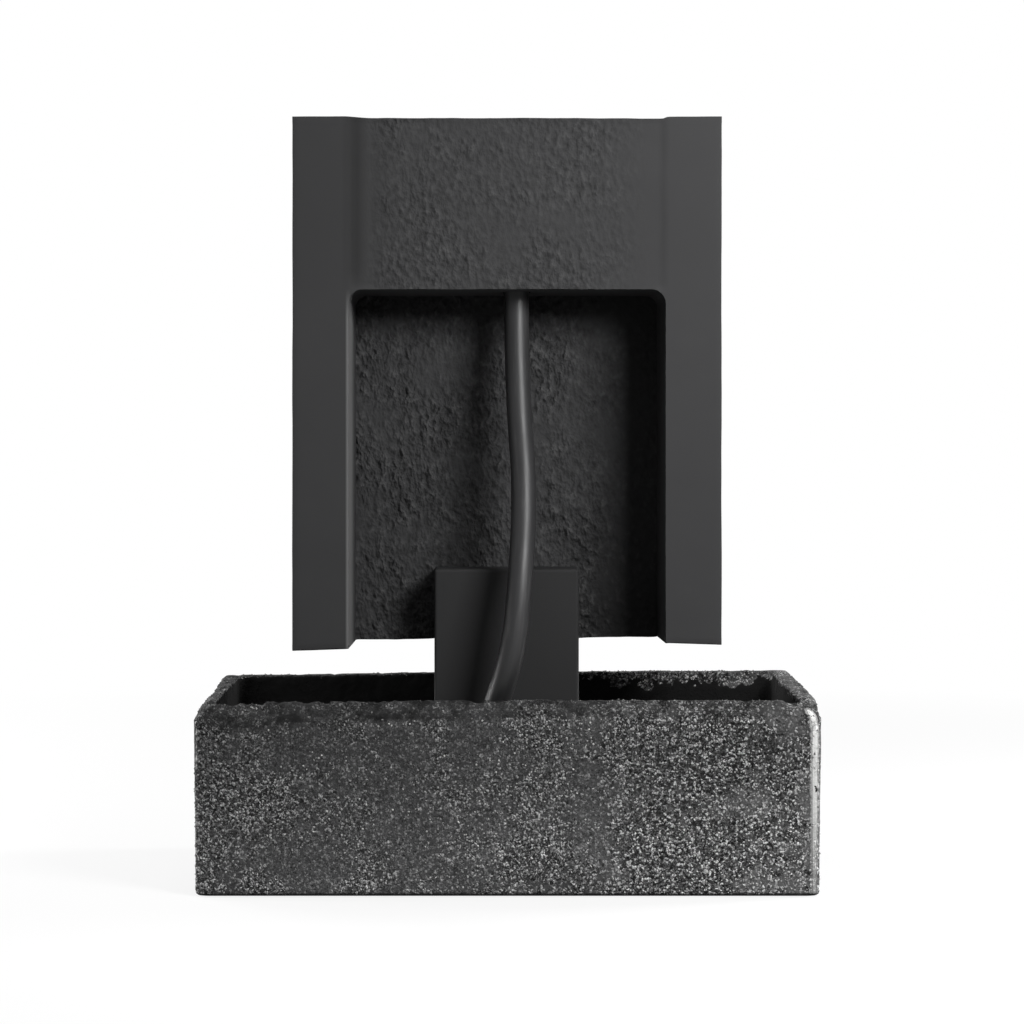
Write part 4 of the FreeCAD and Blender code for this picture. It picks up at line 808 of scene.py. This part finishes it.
# Wall panel: inside the recess's round corners, and its foot's height across it
RECESS_INSIDE = 0.1585
FOOT_PLACES = (-PANEL_HALF, -0.161, -0.155, -0.075, 0.075, 0.155, 0.161, PANEL_HALF)
FOOT_HEIGHTS = (0.2383, 0.2400, 0.2412, 0.2430, 0.2430, 0.2448, 0.2458, 0.2442)
TOP_LOWERED, VALLEY_X, VALLEY_WIDTH, VALLEY_DEPTH = 0.0017, -0.137, 0.014, 0.0016


def tighten(points, first, second, chosen=True, reach=0.0042, keep=0.4):
    """Draws a round edge out towards its corner; a plane is an axis, its place and the way in."""
    depths = [(points[:, axis] - place) * way for axis, place, way in (first, second)]
    rounded = chosen & (depths[0] > 1e-4) & (depths[0] < reach) & (depths[1] > 1e-4) & (depths[1] < reach)
    for (axis, place, way), depth in zip((first, second), depths):
        points[rounded, axis] = place + way * keep * depth[rounded]


def make_panel():
    """The casting with softened edges, an uneven foot and the trowelled back."""
    mesh = cad_nodes["wall_panel"].data.copy()
    panel = add_object("panel_stone", mesh)
    weld(panel)
    grid = panel.modifiers.new("grid", "REMESH")
    grid.mode = "SHARP"
    grid.octree_depth = 8
    grid.scale = 0.68
    grid.use_remove_disconnected = False
    settle(panel)
    mesh = panel.data
    points, normals = np.empty((2, len(mesh.vertices), 3))
    mesh.vertices.foreach_get("co", points.ravel())
    mesh.vertices.foreach_get("normal", normals.ravel())
    rear, front = (1, PANEL_REAR, 1), (1, PANEL_FRONT, -1)
    top, base = (2, PANEL_TOP, -1), (2, PANEL_BASE, 1)
    outer = [(0, -PANEL_HALF, 1), (0, PANEL_HALF, -1)]
    edges = [(side, other) for side in outer for other in (rear, front, top, base)]
    edges += [(top, rear), (top, front)]
    for first, second in edges:
        tighten(points, first, second)
    for side in ((0, -RECESS_HALF, -1), (0, RECESS_HALF, 1)):
        tighten(points, side, rear, points[:, 2] < CEILING - 0.015)
    x, y, z = points.T.copy()

    in_recess = (np.abs(x) < RECESS_INSIDE) & (z < CEILING - 0.002) & (y < 0.0)
    recess_floor = in_recess & (y > RECESS_FLOOR - 0.002)
    back = y < PANEL_REAR + 0.004
    head = back & (z > CEILING - 0.004) & (np.abs(x) < RECESS_HALF)

    # The uneven foot, the top lowered between the ribs and the shallow valley beside the left rib
    foot = np.interp(x, FOOT_PLACES, FOOT_HEIGHTS)
    points[:, 2] += (foot - PANEL_BASE) * smooth_step(z, 0.30, PANEL_BASE)
    valley = np.exp(-((x - VALLEY_X) / VALLEY_WIDTH) ** 2)
    lowered = smooth_step(x, -0.165, -0.135) * smooth_step(x, 0.1625, 0.1565)
    top_share = smooth_step(z, PANEL_TOP - 0.012, PANEL_TOP - 0.001)
    points[:, 2] -= TOP_LOWERED * lowered * top_share
    points[:, 1] += back * (z > CEILING) * VALLEY_DEPTH * valley

    # Wandering faces, trowelled where the mould was open
    wander = 0.0005 * waves(points, 9, 4) + 0.00015 * waves(points, 40, 5)
    trowelled = 0.0011 * waves(points, 26, 6) + 0.0005 * waves(points, 70, 7)
    share = recess_floor + head * 0.45
    points += normals * (wander + trowelled * share)[:, None]
    mesh.vertices.foreach_set("co", points.ravel())

    spread = recess_floor + head * smooth_step(np.abs(x), 0.150, 0.120) * 0.62
    spread += in_recess * (y > PANEL_REAR + 0.02) * ~recess_floor * 0.2
    mark_points(mesh, "rough", np.clip(spread, 0, 1))
    dress(panel, "root", "cast_stone", "wall_panel")
    mesh.set_sharp_from_angle(angle=math.radians(24))


make_panel()


# Small hardware
def ring_tree():
    """Bars round a circle on Z; each one's X points outwards and it leans about that."""
    t, given = new_tree("ring_of_bars", count=("Int", 12), radius=("Float", 0.01),
                        bar=("Vector", (0.001, 0.001, 0.001)), lean=("Float", 0.0))
    circle = t.out("MeshCircle", {"Vertices": given["count"], "Radius": given["radius"]})
    bar = t.out("MeshCube", {"Size": given["bar"]})
    turn = t.times(t.out("InputIndex"), t.math("DIVIDE", 2 * math.pi, given["count"]))
    turn = t.out("ShaderNodeCombineXYZ", {0: given["lean"], 2: turn})
    placed = t.out("InstanceOnPoints", {"Points": circle, "Instance": bar, "Rotation": turn})
    return finish_tree(t, given, placed)


def rows_tree():
    """Copies of a piece in rows: one step across, another step up."""
    t, given = new_tree("rows_of_copies", start=("Vector", (0, 0, 0)),
                        across=("Vector", (0, 0, 0)), across_count=("Int", 1),
                        up=("Vector", (0, 0, 0)), up_count=("Int", 1))
    line = t.out("MeshLine", {"Count": given["across_count"], "Start Location": given["start"],
                              "Offset": given["across"]})
    column = t.out("MeshLine", {"Count": given["up_count"], "Offset": given["up"]})
    rows = t.out("InstanceOnPoints", {"Points": line, "Instance": column})
    rows = t.out("RealizeInstances", {0: rows})
    placed = t.out("InstanceOnPoints", {"Points": rows, "Instance": given["Geometry"]})
    return finish_tree(t, given, placed)


# How to turn a piece made along Z so that it looks along another axis
TURNED = {"Z": Matrix.Identity(4), "X": Matrix.Rotation(math.pi / 2, 4, "Y"),
          "-X": Matrix.Rotation(-math.pi / 2, 4, "Y"), "Y": Matrix.Rotation(-math.pi / 2, 4, "X")}


def ring_of_bars(name, body, slot, centre, axis, **sizes):
    """A grip or a row of slots: bars round an axis, with softened edges."""
    ring = add_object(name, bpy.data.meshes.new(name))
    run_tree(ring, rings, finish=finishes[slot], **sizes)
    bevel = ring.modifiers.new("bevel", "BEVEL")
    bevel.width = min(sizes["bar"]) * 0.3
    bevel.segments = 1
    settle(ring)
    ring.data.transform(Matrix.Translation(centre) @ TURNED[axis])
    dress(ring, body, slot, smooth=False)


# Screw heads: loops up the side as radius and height, loops over the top, and the cross recess
SCREW_STEPS = 28
HEAD_SIDE = ((0.55, 0.0), (0.96, 0.0), (1.0, 0.12), (0.99, 0.40), (0.93, 0.66), (0.84, 0.82))
HEAD_TOP = (0.74, 0.66, 0.58, 0.50, 0.42, 0.36, 0.30, 0.24, 0.18, 0.12, 0.06, 0.015)
CROSS_REACH, CROSS_DEPTH = 0.62, 0.55


def screw_mesh(name, head_radius, head_height, shank_radius, length, pitch):
    """A screw on Z with its thread below zero and a domed head with a cross recess above."""
    steps, rings = SCREW_STEPS, []
    turn = even_turns(steps)
    for z in np.arange(-length, 0, pitch / 4):
        ridge = np.abs(((z / pitch - turn / (2 * math.pi)) % 1.0) - 0.5) * 2
        radius = shank_radius * (1 - 0.16 * ridge) * min(1, 0.35 + (z + length) / (2 * shank_radius))
        rings.append((radius, np.full(steps, z)))
    rings += [(np.full(steps, head_radius * wide), np.full(steps, head_height * high))
              for wide, high in HEAD_SIDE]
    for wide in HEAD_TOP:
        radius = head_radius * wide
        x, y = np.abs(radius * np.cos(turn)), np.abs(radius * np.sin(turn))
        arm = smooth_step(np.minimum(x, y), 0.15 * head_radius, 0.09 * head_radius) * (wide < CROSS_REACH)
        dome = head_height * (1.0 - 0.18 * (wide / HEAD_SIDE[-1][0]) ** 2)
        sunk = arm * CROSS_DEPTH * head_height * (1 - 0.5 * wide / CROSS_REACH)
        rings.append((np.full(steps, radius), dome - sunk))
    points = [np.column_stack([radius * np.cos(turn), radius * np.sin(turn), z]) for radius, z in rings]
    faces = [face for row in range(len(rings) - 1) for face in quads(row * steps, (row + 1) * steps, steps)]
    last = (len(rings) - 1) * steps
    faces += [tuple(range(steps))[::-1], tuple(range(last, last + steps))]
    return new_mesh(name, np.concatenate(points).tolist(), faces)


def rows_of_screws(name, node, axis, sizes, **rows):
    """Screws in rows for a node's own; the heads look along axis, start is one head's seat."""
    screws = add_object(name, screw_mesh(name, *sizes))
    screws.data.transform(TURNED[axis])
    run_tree(screws, copies, finish=finishes["stainless_steel"], **rows)
    dress(screws, "root", "stainless_steel", node)
    screws.data.set_sharp_from_angle(angle=math.radians(38))


# Where they sit: the pump's axis, the dial's knob, the clamp and the stopper's grip
PUMP_Y, PUMP_Z, DIAL_X, CLAMP_Z, STOPPER_Z = -0.108, 0.059, -0.0773, 0.110, 0.043
rings, copies = ring_tree(), rows_tree()
ring_of_bars("clamp_slots", "root", "stainless_steel", (HOSE_ROUTE[-1][0], PUMP_Y, CLAMP_Z), "Z",
             count=36, radius=0.01365, bar=(0.0006, 0.0008, 0.0058), lean=math.radians(14))
ring_of_bars("dial_grip", "flow_control", "grey_plastic", (DIAL_X, PUMP_Y, PUMP_Z), "X",
             count=18, radius=0.0086, bar=(0.0007, 0.0010, 0.0066), lean=0.0)
ring_of_bars("stopper_grip", "drain_plug", "black_rubber", (*DRAIN_PLACE, STOPPER_Z), "Z",
             count=22, radius=0.0089, bar=(0.0010, 0.0010, 0.0030), lean=0.0)

# Sizes of a screw: head radius and height, shank radius and length, pitch
rows_of_screws("flange_screws", "spout_screws", "Y", (0.004, 0.002, 0.002, 0.024, 0.0012),
               start=(-0.116, 0.028, 0.639), across=(0.232, 0.0, 0.0), across_count=2,
               up=(0.0, 0.0, 0.056), up_count=2)
rows_of_screws("volute_screws", "cover_screws", "-X", (0.0028, 0.0028, 0.0015, 0.02715, 0.0010),
               start=(-0.0322, -0.1275, 0.0415), across=(0.0, 0.039, 0.035), across_count=2, up_count=1)

# Finishes of the pieces that keep their own shape
slots = {part["node"]: part["material_slot"] for part in frame["record"]["subparts"]}
for name, piece in cad_nodes.items():
    if not piece.data.materials:
        piece.data.materials.append(None)
    for place in piece.material_slots:
        place.material = finishes[slots[name]]


# Floor and light: the floor glows less near the fountain
FLOOR_HALF, PAPER_Z = 20.0, -0.0004
GLOW_FROM, GLOW_TO, GLOW_SHARE = 0.6, 2.2, 0.79
PAPER_UNSEEN, PAPER_SEEN = 0.16, 0.72
FILL_LEVEL, MIRRORED_NEAR = 0.15, 0.10
LAMP_AIM = Vector((0, 0, 0.42))

# Lamps: azimuth and elevation, distance, width and height, level
LAMPS = {
    "key": (32, 22.6, 1.36, (0.50, 0.34), 1.05),
    "right": (104, 7, 1.9, (0.5, 1.0), 1.4),
    "left": (-96, 7, 2.0, (0.5, 1.0), 0.7),
    "spout_side": (232, 15, 2.6, (1.2, 1.2), 0.75),
    "top": (-15, 74, 2.2, (0.9, 0.9), 0.30),
}


def cleared(owner):
    """The emptied node tree of a material or a world."""
    owner.use_nodes = True
    owner.node_tree.nodes.clear()
    return Nodes(owner.node_tree)


def make_floor():
    """White paper that glows and still takes the fountain's shadow."""
    corners = [(x * FLOOR_HALF, y * FLOOR_HALF, PAPER_Z) for x, y in ((-1, -1), (1, -1), (1, 1), (-1, 1))]
    mesh = new_mesh("floor", corners, [(0, 1, 2, 3)])
    floor = add_object("floor", mesh)
    material = bpy.data.materials.new("floor_paper")
    t = cleared(material)
    place = t.node("TexCoord").outputs["Object"]
    away = t.node("VectorMath", {0: place}, operation="LENGTH").outputs["Value"]
    path = t.node("LightPath").outputs
    seen = t.math("MAXIMUM", path["Is Camera Ray"], path["Is Glossy Ray"])
    seen = t.math("MAXIMUM", seen, path["Is Transmission Ray"])
    share = t.times(t.between(away, GLOW_FROM, GLOW_TO, GLOW_SHARE, 1.0), seen)
    grey = t.between(seen, 0.0, 1.0, PAPER_UNSEEN, PAPER_SEEN)
    paper = t.out("BsdfDiffuse", {"Color": grey})
    glow = t.out("Emission", {"Color": (1, 1, 1, 1)})
    t.node("OutputMaterial", {"Surface": t.out("MixShader", {0: share, 1: paper, 2: glow})})
    mesh.materials.append(material)


def light_world():
    """A dim even fill; what is seen directly, or mirrored on the far side, is white."""
    scene.world = bpy.data.worlds.new("studio")
    t = cleared(scene.world)
    path = t.node("LightPath").outputs
    far = t.node("SeparateXYZ", {0: t.node("TexCoord").outputs["Generated"]}).outputs["Y"]
    mirrored = t.times(path["Is Glossy Ray"], t.between(far, -0.5, 0.2, MIRRORED_NEAR, 1.0))
    seen = t.math("MAXIMUM", path["Is Camera Ray"], path["Is Transmission Ray"])
    seen = t.math("MAXIMUM", seen, mirrored)
    fill, white = [t.out("Background", {"Color": (1, 1, 1, 1), "Strength": level})
                   for level in (FILL_LEVEL, 1.0)]
    t.node("OutputWorld", {"Surface": t.out("MixShader", {0: seen, 1: fill, 2: white})})


def add_lamp(name, azimuth, elevation, distance, size, level):
    """A soft lamp aimed at the panel; azimuth 0 is behind the camera, 90 at its right."""
    turn, rise = math.radians(azimuth), math.radians(elevation)
    direction = Vector((math.sin(turn) * math.cos(rise), -math.cos(turn) * math.cos(rise), math.sin(rise)))
    lamp = bpy.data.lights.new(name, "AREA")
    lamp.shape = "RECTANGLE"
    lamp.size, lamp.size_y = size
    lamp.energy = level * math.pi ** 2 * distance ** 2
    holder = add_object(name, lamp)
    holder.location = LAMP_AIM + direction * distance
    holder.rotation_mode = "QUATERNION"
    holder.rotation_quaternion = direction.to_track_quat("Z", "Y")


make_floor()
light_world()
for name, settings in LAMPS.items():
    add_lamp(name, *settings)

bpy.context.view_layer.update()
